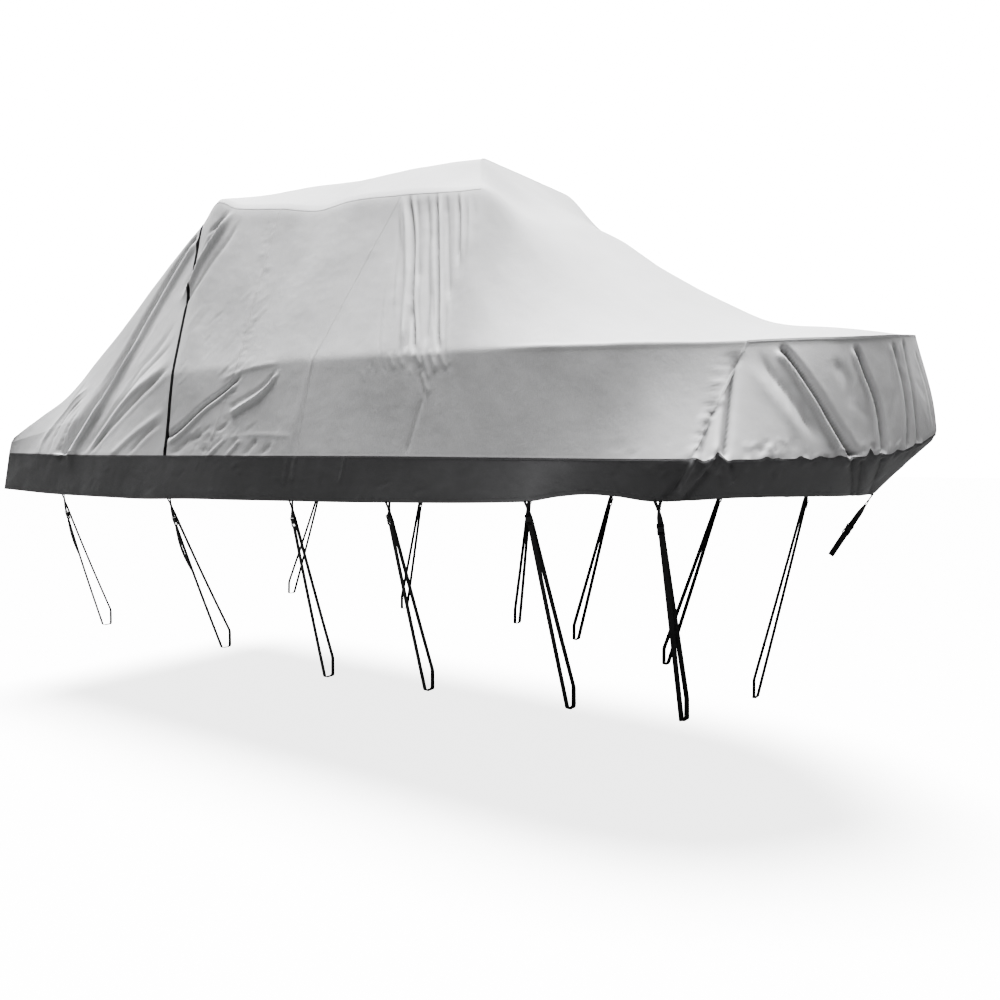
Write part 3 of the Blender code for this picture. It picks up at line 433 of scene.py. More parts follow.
BAND_FOLDS = (
    ("bow_line_1", "crease", 0.016, 0.008, 0.008, 0.02, ((5.22, 1.75), (5.18, 1.67), (5.13, 1.58))),
    ("bow_line_2", "crease", 0.012, 0.007, 0.007, 0.02, ((5.29, 1.74), (5.25, 1.69), (5.21, 1.63))),
    ("bow_line_3", "crease", 0.01, 0.007, 0.007, 0.02, ((5.325, 1.75), (5.31, 1.7), (5.295, 1.65))),
    ("bow_line_4", "crease", 0.011, 0.007, 0.007, 0.02, ((5.32, 1.735), (5.34, 1.68), (5.37, 1.61))),
    ("bow_dark_1", "ridge", -0.012, 0.016, 0.016, 0.03, ((5.27, 1.69), (5.21, 1.61), (5.15, 1.54))),
    ("bow_dark_2", "ridge", -0.009, 0.014, 0.014, 0.03, ((5.15, 1.65), (5.11, 1.6), (5.07, 1.55))),
    ("bow_dark_3", "crease", -0.012, 0.011, 0.011, 0.02, ((5.94, 1.72), (5.99, 1.64), (6.06, 1.55))),
    ("bow_dark_4", "crease", -0.012, 0.011, 0.011, 0.02, ((6.0, 1.72), (6.05, 1.63), (6.11, 1.55))),
    ("bow_dark_5", "crease", -0.012, 0.011, 0.011, 0.02, ((6.12, 1.73), (6.17, 1.63), (6.28, 1.54))),
    ("aft_line_1", "crease", 0.004, 0.006, 0.006, 0.03, ((2.95, 1.74), (2.93, 1.66), (2.9, 1.56))),
    ("aft_line_2", "crease", 0.004, 0.006, 0.006, 0.03, ((3.02, 1.74), (2.99, 1.66), (2.97, 1.58))),
    ("aft_line_3", "crease", 0.003, 0.006, 0.006, 0.03, ((3.38, 1.74), (3.36, 1.66), (3.33, 1.58))),
)
PORT_FOLD_SCALE = 0.85
PATH_STEPS = 6
# A fold is worked out this many widths to each side, and a crease's tip is this round, in widths.
FOLD_REACH = 3.5
CREASE_ROUND = 0.2
# A sharp edge's steep wall is this share of its wide wall. Past it the cloth swells the other way,
# by a share of the depth, this far from the edge and this wide, as shares of the wide wall.
STEEP_WALL = 0.25
COUNTER_CREST = 0.30
COUNTER_CREST_PLACE = 0.8
COUNTER_CREST_WIDTH = 0.4
# The finish darkens the cloth by these hollows as painted shade in the folds, and lightens the crests as a
# painted highlight.
# Hollows are found against the cloth this many cells around; this deep they count as 1, and the
# deepest tucks count this much.
HOLLOW_SPREAD = 6
HOLLOW_DEPTH = 0.006
DEEPEST_HOLLOW = 3.5

# Seams that gather the cloth: short folds start on them and die out to one side or both. They
# vary by these shares of their own measures, and by this much in their slant.
PUCKER_START = (0.3, 1.0)
PUCKER_PITCH = (0.7, 1.4)
PUCKER_LENGTH = (0.5, 1.5)
PUCKER_DEPTH = (0.5, 1.3)
PUCKER_FOOT = (1.0, 1.5)
PUCKER_SLANT = 0.3
PUCKER_FADE = 0.5
# A seam's direction is read over this distance to each side of a place.
SEAM_LOOK = 0.02
PUCKERS = (
    # name, pitch, length, depth, width, lean, on both sides, path
    ("pucker_seam", 0.034, 0.06, 0.002, 0.008, -0.2, True,
     ((2.49, 3.12), (2.5, 2.82), (2.49, 2.51), (2.45, 2.21), (2.4, 1.86), (2.28, 1.73))),
    ("bow_seam_top", 0.022, 0.055, 0.0045, 0.007, -0.2, False,
     ((5.28, 1.96), (5.33, 2.06), (5.41, 2.21))),
    ("bow_seam_low", 0.03, 0.026, 0.005, 0.009, 0.0, True, ((5.31, 2.0), (5.24, 1.88), (5.2, 1.74))),
    ("bow_rail", 0.05, 0.05, 0.0022, 0.009, -0.2, False, ((5.46, 2.235), (5.8, 2.25), (6.2, 2.275))),
)
BAND_PUCKERS = (
    ("bow_band", 0.05, 0.04, 0.005, 0.01, 0.2, True,
     ((5.1, 1.716), (5.5, 1.716), (6.0, 1.724), (6.4, 1.78))),
)

# Areas of fine creasing: short random folds about a direction, with the folds' foot, bend and fade
# as shares of their width and half length. A fold with a sharp edge is this much wider.
CREASE_FOOT = (0.8, 1.4)
CREASE_BEND = 0.08
CREASE_FADE = 0.8
SHARP_FOLD_WIDTH = 2.0
CREASES = (
    # name, rounds, heights, count, lengths, depths, widths, slope, spread of the slope's angle
    ("above_band", (1.95, 2.95), (1.74, 1.90), 44, (0.05, 0.16), (0.001, 0.0035), (0.006, 0.012), 0.60, 0.30),
    ("aft_side", (1.95, 2.60), (2.10, 2.70), 22, (0.10, 0.26), (0.001, 0.0025), (0.008, 0.016), 0.80, 0.20),
    ("stern_fan", (0.40, 1.70), (1.80, 2.50), 34, (0.20, 0.55), (0.001, 0.0035), (0.008, 0.018), 1.15, 0.10),
    ("front_top", (3.48, 4.05), (2.35, 3.00), 26, (0.20, 0.60), (0.002, 0.0055), (0.009, 0.016), -4.2, 0.04),
    ("knee", (3.45, 4.05), (2.12, 2.20), 16, (0.05, 0.11), (0.001, 0.0022), (0.007, 0.010), -2.4, 0.20),
    ("band_feet", (4.85, 5.20), (1.73, 1.80), 14, (0.04, 0.09), (0.001, 0.0025), (0.007, 0.010), 3.5, 0.20),
    ("bow_panel", (5.45, 6.35), (1.78, 2.18), 26, (0.10, 0.26), (0.001, 0.0030), (0.010, 0.018), -2.4, 0.25),
    ("bow_feet", (5.40, 6.40), (1.74, 1.80), 34, (0.03, 0.08), (0.002, 0.0055), (0.007, 0.012), -2.0, 0.50),
)
BAND_CREASES = (
    ("side", (0.10, 5.10), (1.50, 1.70), 50, (0.05, 0.16), (0.0005, 0.0015), (0.006, 0.012), 0.60, 0.40),
    ("bow", (5.00, 6.50), (1.56, 1.72), 40, (0.06, 0.14), (0.001, 0.0040), (0.007, 0.013), -3.0, 0.35),
)

# The seam of the band isn't straight at the bow: it rises in small arches: (round, rise, half width).
SEAM_ARCHES = (
    (5.195, 0.006, 0.012), (5.240, -0.008, 0.014), (5.300, 0.032, 0.016), (5.345, -0.006, 0.012),
    (5.510, 0.012, 0.018), (5.560, 0.006, 0.014), (5.670, 0.012, 0.016), (5.720, -0.006, 0.012),
    (5.770, 0.009, 0.022), (5.870, 0.009, 0.020), (5.925, -0.008, 0.010), (6.040, 0.034, 0.014),
    (6.100, 0.010, 0.020), (6.200, 0.012, 0.022), (6.300, 0.010, 0.020),
)
ARCH_REACH = 0.14

# The folds start this far below the roof's edge and are held down this near the band's seam, in
# line steps. The seam lets this share of them through.
EDGE_HOLD = 0.16
SEAM_HOLD = 0.05
FOLDS_IN_BAND = 0.15
# They die out over these lengths before the stern and the tip.
STERN_HOLD = 0.10
TIP_HOLD = 0.06
FOLD_SEEDS = {"starboard": 11, "port": 12}
WAVE_SEED = 5

# Gentle unevenness all over, as waves of many directions: (wavelengths, height of the waves).
WAVES = (
    ((0.50, 1.10), 0.0035),
    ((0.16, 0.40), 0.0008),
    ((0.06, 0.12), 0.00022),
)
WAVES_EACH = 28


def smooth_path(path):
    """A path through its points with the corners rounded, as an array of (round, height)."""
    points = np.array(path, float)
    if len(points) < 3:
        return points
    extended = np.concatenate([[2 * points[0] - points[1]], points, [2 * points[-1] - points[-2]]])
    out = [points[0]]
    for i in range(1, len(points)):
        a, b, c, d = extended[i - 1:i + 3]
        for t in np.arange(1, PATH_STEPS + 1) / PATH_STEPS:
            out.append(0.5 * (
                2 * b + (c - a) * t + (2 * a - 5 * b + 4 * c - d) * t**2 + (3 * b - a - 3 * c + d) * t**3
            ))
    return np.array(out)


def nearest_on_path(spots, path):
    """Signed distance of each spot from a path, and how far along the path that is, as a share."""
    before = lengths_along(path)
    best = np.full(len(spots), np.inf)
    signed = np.zeros(len(spots))
    along = np.zeros(len(spots))
    last = len(path) - 2
    for i, (start, end) in enumerate(zip(path, path[1:])):
        run = end - start
        offset = spots - start
        # Past its ends the path goes on straight, so that a fold fades out along its own line.
        share = np.clip(offset @ run / (run @ run), -1.0 if i == 0 else 0.0, 2.0 if i == last else 1.0)
        gap = offset - share[:, None] * run
        distance = np.hypot(gap[:, 0], gap[:, 1])
        nearer = distance < best
        cross = run[0] * offset[:, 1] - run[1] * offset[:, 0]
        best = np.where(nearer, distance, best)
        signed = np.where(nearer, np.sign(cross) * distance, signed)
        reached = before[i] + share * (before[i + 1] - before[i])
        along = np.where(nearer, reached / before[-1], along)
    return signed, along


def fold_height(spots, shape, depth, width1, width2, fade, path):
    """How far one fold lifts the cloth at each spot."""
    path = smooth_path(path)
    reach = FOLD_REACH * max(width1, width2)
    near = np.all((spots > path.min(axis=0) - reach) & (spots < path.max(axis=0) + reach), axis=1)
    lift = np.zeros(len(spots))
    if not near.any():
        return lift
    distance, share = nearest_on_path(spots[near], path)
    total = lengths_along(path)[-1]
    fading = ease(share * total / fade) * ease((1.0 - share) * total / fade)
    beside = distance / (width1 + (width2 - width1) * np.clip(share, 0.0, 1.0))
    if shape == "ridge":
        form = bell(beside, 1.0)
    elif shape == "crease":
        form = np.exp(CREASE_ROUND - np.hypot(beside, CREASE_ROUND))
    else:
        beside *= 1.0 if shape == "left" else -1.0
        wide = np.clip(1.0 - beside, 0.0, 1.0) ** 2
        swell = COUNTER_CREST * bell(beside + COUNTER_CREST_PLACE, COUNTER_CREST_WIDTH)
        steep = np.exp(np.minimum(beside, 0.0) / STEEP_WALL) - swell
        form = np.where(beside > 0.0, wide, steep)
    lift[near] = depth * fading * form
    return lift


def pucker_folds(row, draw):
    """Short folds across a gathered seam, as rows like those of SIDE_FOLDS."""
    _, pitch, length, depth, width, lean, both, path = row
    path = smooth_path(path)
    distances = lengths_along(path)
    found = []
    place = pitch * draw.uniform(*PUCKER_START)
    while place < distances[-1]:
        at = read_at(path, distances, place)
        run = unit(read_at(path, distances, place + SEAM_LOOK) - read_at(path, distances, place - SEAM_LOOK))
        across = np.array([-run[1], run[0]])
        for sign in (1.0, -1.0) if both else (1.0,):
            slant = run * (lean + draw.uniform(-PUCKER_SLANT, PUCKER_SLANT))
            reach = length * draw.uniform(*PUCKER_LENGTH)
            end = at + (across * sign + slant) * reach
            start = at - across * sign * width / 2
            size = depth * draw.uniform(*PUCKER_DEPTH) * draw.choice((-1.0, 1.0))
            foot = width * draw.uniform(*PUCKER_FOOT)
            found.append(("ridge", size, width, foot, reach * PUCKER_FADE, (start, end)))
        place += pitch * draw.uniform(*PUCKER_PITCH)
    return found


def crease_folds(row, draw):
    """Short folds strewn over an area, as rows like those of SIDE_FOLDS."""
    _, rounds, heights, count, lengths, depths, widths, slope, spread = row
    found = []
    for _ in range(count):
        at = np.array([draw.uniform(*rounds), draw.uniform(*heights)])
        angle = math.atan(slope) + draw.normal(0.0, spread)
        run = np.array([math.cos(angle), math.sin(angle)])
        half = run * draw.uniform(*lengths) / 2
        reach = np.linalg.norm(half)
        bend = np.array([-run[1], run[0]]) * draw.uniform(-CREASE_BEND, CREASE_BEND) * reach
        shape = draw.choice(("ridge", "crease", "left", "right"))
        size = draw.uniform(*depths) * draw.choice((-1.0, 1.0))
        width = draw.uniform(*widths) * (SHARP_FOLD_WIDTH if shape in ("left", "right") else 1.0)
        foot = width * draw.uniform(*CREASE_FOOT)
        found.append((shape, size, width, foot, reach * CREASE_FADE, (at - half, at + bend, at + half)))
    return found


def waves(first, second, draw):
    """Unevenness at places given by two distances."""
    total = np.zeros_like(first)
    for lengths, height in WAVES:
        for _ in range(WAVES_EACH):
            length = draw.uniform(*lengths)
            angle = draw.uniform(0.0, 2 * math.pi)
            phase = draw.uniform(0.0, 2 * math.pi)
            travel = first * math.cos(angle) + second * math.sin(angle)
            total += height / math.sqrt(WAVES_EACH) * np.sin(2 * math.pi * travel / length + phase)
    return total


# The finish reads this as painted shade in the valleys and a painted highlight on the crests.
def hollows(lift):
    """How deep each spot lies below the cloth around it: above 0 in a valley, -1 on a crest."""
    around = lift
    for _ in range(HOLLOW_SPREAD):
        padded = np.pad(around, ((1, 1), (0, 0)), mode="edge")
        around = (padded[:-2] + 2.0 * padded[1:-1] + padded[2:]) / 4.0
        padded = np.pad(around, ((0, 0), (1, 1)), mode="edge")
        around = (padded[:, :-2] + 2.0 * padded[:, 1:-1] + padded[:, 2:]) / 4.0
    return np.clip((around - lift) / HOLLOW_DEPTH, -1.0, DEEPEST_HOLLOW)


class Side:
    """One side of the cover: points, normals and cloth distances on a fine grid."""

    def __init__(self, side):
        self.side = side
        self.place = np.array(places_of_rows())[None, :]
        points = unfolded_side()
        flat = points.copy()
        flat[..., 2] = 0.0
        self.round = points[0, :, 0] + lengths_along(flat)
        self.to_tip = self.round[-1] - self.round
        self.add_seam_arches(points)
        self.ahead = lengths_along(points)
        self.down = lengths_along(points, 1)
        lift = self.lift(points)
        self.hollow = hollows(lift)
        self.points = points + normals_of(points) * lift[..., None]
        self.add_tip_bulge()
        self.normals = normals_of(self.points)
        self.seam_distance = self.distance_to_seams()

    def lift(self, points):
        """How far the folds lift the cloth out, column by row."""
        spots = np.stack([self.round, points[..., 2]], axis=-1).reshape(-1, 2)
        draw = np.random.default_rng(FOLD_SEEDS[self.side])
        body = self.total_of(spots, draw, SIDE_FOLDS, PUCKERS, CREASES)
        band = self.total_of(spots, draw, BAND_FOLDS, BAND_PUCKERS, BAND_CREASES)
        above_band = ease((SEAM - self.place) / SEAM_HOLD)
        body *= ease((self.place - EDGE) / EDGE_HOLD) * (FOLDS_IN_BAND + (1.0 - FOLDS_IN_BAND) * above_band)
        band *= ease((self.place - SEAM) / SEAM_HOLD + 1.0)
        uneven = waves(self.round, -sign_of(self.side) * self.down, np.random.default_rng(WAVE_SEED))
        at_ends = ease(self.ahead / STERN_HOLD) * ease(self.to_tip / TIP_HOLD)
        return (body + band + uneven) * at_ends

    def total_of(self, spots, draw, folds, puckers, creases):
        """Sum of the folds, puckers and creases of one cloth, column by row."""
        total = np.zeros(len(spots))
        scale = PORT_FOLD_SCALE if self.side == "port" else 1.0
        for _, shape, depth, *rest in folds:
            total += fold_height(spots, shape, scale * depth, *rest)
        for rows, make in ((puckers, pucker_folds), (creases, crease_folds)):
            for row in rows:
                for fold in make(row, draw):
                    total += fold_height(spots, *fold)
        return total.reshape(self.round.shape)

    def add_seam_arches(self, points):
        """The band's seam rises and dips along the bow."""
        near_seam = bell(self.place - SEAM, ARCH_REACH)
        for where, rise, half_width in SEAM_ARCHES:
            points[..., 2] += rise * bell(self.round - where, half_width) * near_seam

    def add_tip_bulge(self):
        """The cloth swells forward at the tip between the rail and the band."""
        share = np.clip((self.place - RAIL) / (SEAM - RAIL), 0.0, 1.0)
        swell = np.sin(math.pi * share**TIP_BULGE_DROP) * bell(self.to_tip, TIP_BULGE_LENGTH)
        self.points[..., 0] += TIP_BULGE * swell

    def distance_to_seams(self):
        """Distance of every vertex from the nearest seam or hem, over the cloth."""
        nearest = np.full(self.round.shape, 1.0)
        for _, kind, key, first, last in SEAMS:
            if kind == "column":
                column = column_number(key)
                rows = slice(row_number(first), row_number(last) + 1)
                gap = np.abs(self.ahead[:, rows] - self.ahead[column, rows])
                nearest[:, rows] = np.minimum(nearest[:, rows], gap)
            else:
                row = row_number(key)
                columns = slice(column_number(first), column_number(last) + 1)
                gap = np.abs(self.down[columns] - self.down[columns, row][:, None])
                nearest[columns] = np.minimum(nearest[columns], gap)
        return nearest

    def block(self, first, last, top, bottom):
        """The part between two key columns and two lines."""
        part = (
            slice(column_number(first), column_number(last) + 1),
            slice(row_number(top), row_number(bottom) + 1),
        )
        return Block(
            to_model(self.points[part], self.side),
            direction_to_model(self.normals[part], self.side),
            np.stack([self.ahead[part], self.down[part]], axis=-1),
            self.seam_distance[part],
            self.hollow[part],
            flip=self.side == "starboard",
        )


# Rectangular part of the cloth's grid, in model coordinates, and the widths of its arrays.
Block = namedtuple("Block", "points normals spread seam_distance hollow flip")
BLOCK_ARRAYS = (("points", 3), ("normals", 3), ("spread", 2), ("seam_distance", 1), ("hollow", 1))
MERGE_DECIMALS = 5


# Seams on each side: along a key column between two lines, or along a line between two columns.
SEAMS = (
    # name, kind, key, from, to
    ("zip_aft", "column", "zip_aft", EDGE, SEAM),
    ("zip_forward", "column", "zip_forward", CENTRE, SEAM),
    ("pucker", "column", "pucker_seam", EDGE, SEAM),
    ("plain", "column", "plain_seam", EDGE, SEAM),
    ("roof_front", "column", "top_front", CENTRE, EDGE),
    ("bow", "column", "bow_seam", RAIL, SEAM),
    ("bow_in_band", "column", "bow_seam", SEAM, HEM),
    ("roof_edge", "line", EDGE, "zip_forward", "top_front"),
    ("bow_rail", "line", RAIL, "bow_seam", "bow_tip"),
    ("band", "line", SEAM, "stern", "bow_tip"),
    ("hem", "line", HEM, "stern", "bow_tip"),
)

# The stern face bulges out by this much, and is drawn in over this share of its half at a corner.
STERN_BULGE = 0.006
STERN_BULGE_EDGE = 0.08


def transom_block(side, top, bottom):
    """The stern face between two lines: across it as the stern column of the top, down it as the corner."""
    column = side.points[0]
    corner_top = column[row_number(EDGE)]
    across = column[: row_number(EDGE) + 1]
    share = across[:, 1] / corner_top[1]
    edge = ease((1.0 - share) / STERN_BULGE_EDGE)
    first, last = row_number(top), row_number(bottom)
    rows = []
    for row in range(first, last + 1):
        corner = column[row]
        arch = (across[:, 2] - corner_top[2]) * ease((SEAM - side.place[0, row]) / (SEAM - EDGE))
        bulge = STERN_BULGE * math.sin(math.pi * (row - first) / (last - first))
        rows.append(np.stack([corner[0] - bulge * edge, share * corner[1], corner[2] + arch], axis=-1))
    points = np.stack(rows, axis=1)
    normals = unit(np.cross(np.gradient(points, axis=0), np.gradient(points, axis=1)))
    normals *= -np.sign(normals[..., :1])
    normals[0, :, 1] = 0.0
    down = lengths_along(points, 1)
    from_seam = down if top == SEAM else down[:, -1:] - down
    if bottom == HEM:
        from_seam = np.minimum(from_seam, down[:, -1:] - down)
    return Block(
        to_model(points, side.side),
        direction_to_model(unit(normals), side.side),
        np.stack([lengths_along(points), down], axis=-1),
        from_seam,
        np.zeros(from_seam.shape),
        flip=side.side == "port",
    )


# ---------------------------------------------------------------- meshes
def link(name, data):
    """A new object in the scene, with this mesh, curve, light or camera."""
    obj = bpy.data.objects.new(name, data)
    bpy.context.scene.collection.objects.link(obj)
    return obj


def placed(name, mesh, slot, *stands_for):
    """A piece of the cover, attached to the body in place of the plain solids that it stands for, which are
    hidden. The slot is not used.
    """
    obj = link(name, mesh)
    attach(obj, BODY)
    if stands_for:
        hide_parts(*stands_for)
    return obj


def add_attribute(mesh, name, kind, values):
    """Keeps a value or a vector for each vertex, for the finish to read."""
    attribute = mesh.attributes.new(name, kind, "POINT")
    field = "vector" if kind == "FLOAT_VECTOR" else "value"
    attribute.data.foreach_set(field, np.ascontiguousarray(values, dtype=np.float32).ravel())


def add_spread(mesh, spread):
    """Keeps each vertex's place on the cloth, as (across, down)."""
    add_attribute(mesh, "spread", "FLOAT_VECTOR", np.column_stack([spread, np.zeros(len(spread))]))


def merged(blocks):
    """The arrays of several blocks in one list of vertices, points that fall together shared."""
    quads = []
    count = 0
    for block in blocks:
        columns, rows = block.points.shape[:2]
        numbers = count + np.arange(columns * rows).reshape(columns, rows)
        corners = (numbers[:-1, :-1], numbers[1:, :-1], numbers[1:, 1:], numbers[:-1, 1:])
        quad = np.stack([corner.ravel() for corner in corners], axis=1)
        quads.append(quad[:, ::-1] if block.flip else quad)
        count += columns * rows
    arrays = [
        np.concatenate([getattr(block, name).reshape(-1, width) for block in blocks])
        for name, width in BLOCK_ARRAYS
    ]
    rounded = np.round(arrays[0], MERGE_DECIMALS)
    _, first, inverse = np.unique(rounded, axis=0, return_index=True, return_inverse=True)
    return [array[first] for array in arrays], inverse.ravel()[np.concatenate(quads)]


def tidy_faces(quads):
    """Faces without repeated corners; a quad that closes up on one side becomes a triangle."""
    repeated = np.zeros(len(quads), bool)
    for i in range(4):
        for j in range(i + 1, 4):
            repeated |= quads[:, i] == quads[:, j]
    faces = quads[~repeated].tolist()
    for quad in quads[repeated].tolist():
        corners = list(dict.fromkeys(quad))
        if len(corners) == 3:
            faces.append(corners)
    return faces


def rim_edges(faces):
    """Directed edges that only one face has, in the order that the face runs."""
    directed = {edge for face in faces for edge in zip(face, face[1:] + face[:1])}
    return sorted((a, b) for a, b in directed if (b, a) not in directed)


def cloth_piece(name, blocks, material, slot, node):
    """A sheet with both its faces and its cut edge, from blocks of the grid."""
    (points, normals, spread, seam, hollow), quads = merged(blocks)
    outer = tidy_faces(quads)
    count = len(points)
    inner = [[count + i for i in reversed(face)] for face in outer]
    rim = rim_edges(outer)
    walls = [[b, a, count + a, count + b] for a, b in rim]
    vertices = np.concatenate([points, points - normals * CLOTH_THICKNESS])
    mesh = bpy.data.meshes.new(name)
    mesh.from_pydata(vertices.tolist(), [], outer + inner + walls)
    mesh.shade_smooth()
    sharp = {tuple(sorted(edge)) for edge in rim}
    sharp |= {(a + count, b + count) for a, b in sharp}
    for edge in mesh.edges:
        if tuple(sorted(edge.vertices)) in sharp:
            edge.use_edge_sharp = True
    add_spread(mesh, np.concatenate([spread, spread]))
    add_attribute(mesh, "seam_distance", "FLOAT", np.concatenate([seam, seam]))
    add_attribute(mesh, "hollow", "FLOAT", np.concatenate([hollow, hollow]))
    mesh.materials.append(material)
    mesh.validate()
    return placed(name, mesh, slot, node)


# Cloth pieces of one side: name, key of BLOCKS and of the plain solid, finish, and how it is held.
SIDE_PIECES = (
    ("cloth_side_aft", "side_aft", "grey_cloth", "stretched"),
    ("cloth_side_middle", "side_middle", "grey_cloth", "stretched"),
    ("cloth_side_front", "side_forward", "grey_cloth", "stretched"),
    ("cloth_bow", "bow_panel", "grey_cloth", "gathered"),
    ("cloth_band", "band", "dark_cloth", "stretched"),
)
BLOCKS = {
    "side_aft": (("zip_forward", "pucker_seam", EDGE, SEAM),),
    "side_middle": (("pucker_seam", "plain_seam", EDGE, SEAM),),
    "side_forward": (
        ("plain_seam", "top_front", EDGE, SEAM),
        ("top_front", "bow_seam", CENTRE, SEAM),
        ("bow_seam", "bow_tip", CENTRE, RAIL),
    ),
    "bow_panel": (("bow_seam", "bow_tip", RAIL, SEAM),),
    "band": (("stern", "bow_seam", SEAM, HEM),),
}


def make_cloth(sides, materials):
    """Every cloth piece of the cover, each in place of its plain solid."""
    both = list(sides.values())
    starboard, port = both
    stern = []
    for side in both:
        stern.append(side.block("stern", "zip_aft", CENTRE, SEAM))
        stern.append(side.block("zip_aft", "zip_forward", CENTRE, EDGE))
        if side is port:
            stern.append(side.block("zip_aft", "zip_forward", EDGE, SEAM))
        stern.append(transom_block(side, EDGE, SEAM))
    roof = [side.block("zip_forward", "top_front", CENTRE, EDGE) for side in both]
    stern_band = [transom_block(side, SEAM, HEM) for side in both]
    bow_band = [side.block("bow_seam", "bow_tip", SEAM, HEM) for side in both]
    tape = [starboard.block("zip_aft", "zip_forward", EDGE, SEAM)]
    pieces = [
        ("cloth_roof", "roof", "grey_cloth", "stretched", "roof_panel", roof),
        ("cloth_stern", "stern", "grey_cloth", "draped", "stern_panel", stern),
        ("cloth_band_stern", "band_stern", "dark_cloth", "hung", "band_stern", stern_band),
        ("cloth_band_bow", "band_bow", "dark_cloth", "gathered", "band_bow", bow_band),
        ("zip_tape_starboard", "zip", "zip_tape", "stretched", "zip_starboard", tape),
    ]
    for side in both:
        for name, key, slot, held in SIDE_PIECES:
            blocks = [side.block(*where) for where in BLOCKS[key]]
            pieces.append((f"{name}_{side.side}", key, slot, held, f"{key}_{side.side}", blocks))
    for name, key, slot, held, node, blocks in pieces:
        piece = cloth_piece(name, blocks, materials[slot], slot, node)


# ---------------------------------------------------------------- seams, stitches and zip
LAP_HALF_WIDTH = 0.0055
LAP_HEIGHT = 0.0005
LAP_SOLE = 0.0006
LAP_TOP_SHARE = 0.9
# Seams whose lap lies wholly to one side: forward or down of the seam (1), or aft of it (-1).
LAP_SIDES = {"band": 1.0, "zip_forward": 1.0, "zip_aft": -1.0}
STITCH_PITCH = 0.009
STITCH_LENGTH = 0.0062
STITCH_WIDTH = 0.0010
STITCH_HEIGHT = 0.0007
STITCH_FROM_SEAM = 0.0036
HEM_DEPTH = 0.022
HEM_STITCH_HEIGHT = 0.0002
SHARP_ANGLE = math.radians(40)


def seam_run(side, kind, key, first, last):
    """Points, outward normals and directions across a seam, in model coordinates."""
    points, normals = side.points, side.normals
    if kind == "column":
        line = column_number(key)
        part = slice(row_number(first), row_number(last) + 1)
    else:
        line = row_number(key)
        part = slice(column_number(first), column_number(last) + 1)
        points, normals = points.swapaxes(0, 1), normals.swapaxes(0, 1)
    across = points[min(line + 1, len(points) - 1), part] - points[line - 1, part]
    points = points[line, part]
    runs = unit(np.gradient(points, axis=0))
    across = unit(across - runs * np.sum(across * runs, axis=-1, keepdims=True))
    return (
        to_model(points, side.side),
        direction_to_model(normals[line, part], side.side),
        direction_to_model(across, side.side),
    )


def strip_of(rings):
    """Vertices and faces of a closed strip through rings of points, which run along it in step."""
    count, size = len(rings[0]), len(rings)
    vertices = np.stack(rings, axis=1).reshape(-1, 3)
    faces = []
    for i in range(0, (count - 1) * size, size):
        for j in range(size):
            k = (j + 1) % size
            faces.append([i + j, i + k, i + size + k, i + size + j])
    faces.append(list(range(size))[::-1])
    faces.append([(count - 1) * size + j for j in range(size)])
    return vertices, outward(vertices, faces)


class Gather:
    """Collects vertices and faces of many small shapes into one mesh."""

    def __init__(self):
        self.vertices = []
        self.faces = []
        self.spread = []
        self.count = 0

    def add(self, vertices, faces, spread=None):
        self.vertices.append(np.asarray(vertices, float))
        self.faces += [[self.count + i for i in face] for face in faces]
        self.spread.append(np.zeros((len(vertices), 2)) if spread is None else spread)
        self.count += len(vertices)

    def piece(self, name, material, slot, *stands_for):
        """The piece of the cover that all these shapes make."""
        mesh = bpy.data.meshes.new(name)
        mesh.from_pydata(np.concatenate(self.vertices).tolist(), [], self.faces)
        mesh.shade_smooth()
        mesh.set_sharp_from_angle(angle=SHARP_ANGLE)
        add_spread(mesh, np.concatenate(self.spread))
        mesh.materials.append(material)
        return placed(name, mesh, slot, *stands_for)


def outward(vertices, faces):
    """The same shape with its faces turned to point outward."""
    bm = bmesh.new()
    made = [bm.verts.new(vertex) for vertex in vertices]
    for face in faces:
        bm.faces.new([made[i] for i in face])
    bmesh.ops.recalc_face_normals(bm, faces=bm.faces[:])
    bm.verts.index_update()
    turned = [[vertex.index for vertex in face.verts] for face in bm.faces]
    bm.free()
    return turned


def add_stitches(gather, points, normals, across, offset, lift):
    """A row of stitches beside a run, each a small lens of thread."""
    line = points + across * offset + normals * lift
    distances = lengths_along(line)
    places = np.arange(STITCH_PITCH, distances[-1] - STITCH_PITCH / 2, STITCH_PITCH)
    reach = STITCH_LENGTH / 2
    starts, middles, ends = (read_at(line, distances, places + step) for step in (-reach, 0.0, reach))
    out = read_at(normals, distances, places)
    sides = unit(np.cross(ends - starts, out)) * STITCH_WIDTH / 2
    for start, middle, end, side, up in zip(starts, middles, ends, sides, out * STITCH_HEIGHT):
        gather.add(
            [start, end, middle + side, middle - side, middle + up, middle - up / 2],
            [(0, 2, 4), (2, 1, 4), (1, 3, 4), (3, 0, 4), (2, 0, 5), (1, 2, 5), (3, 1, 5), (0, 3, 5)],
        )


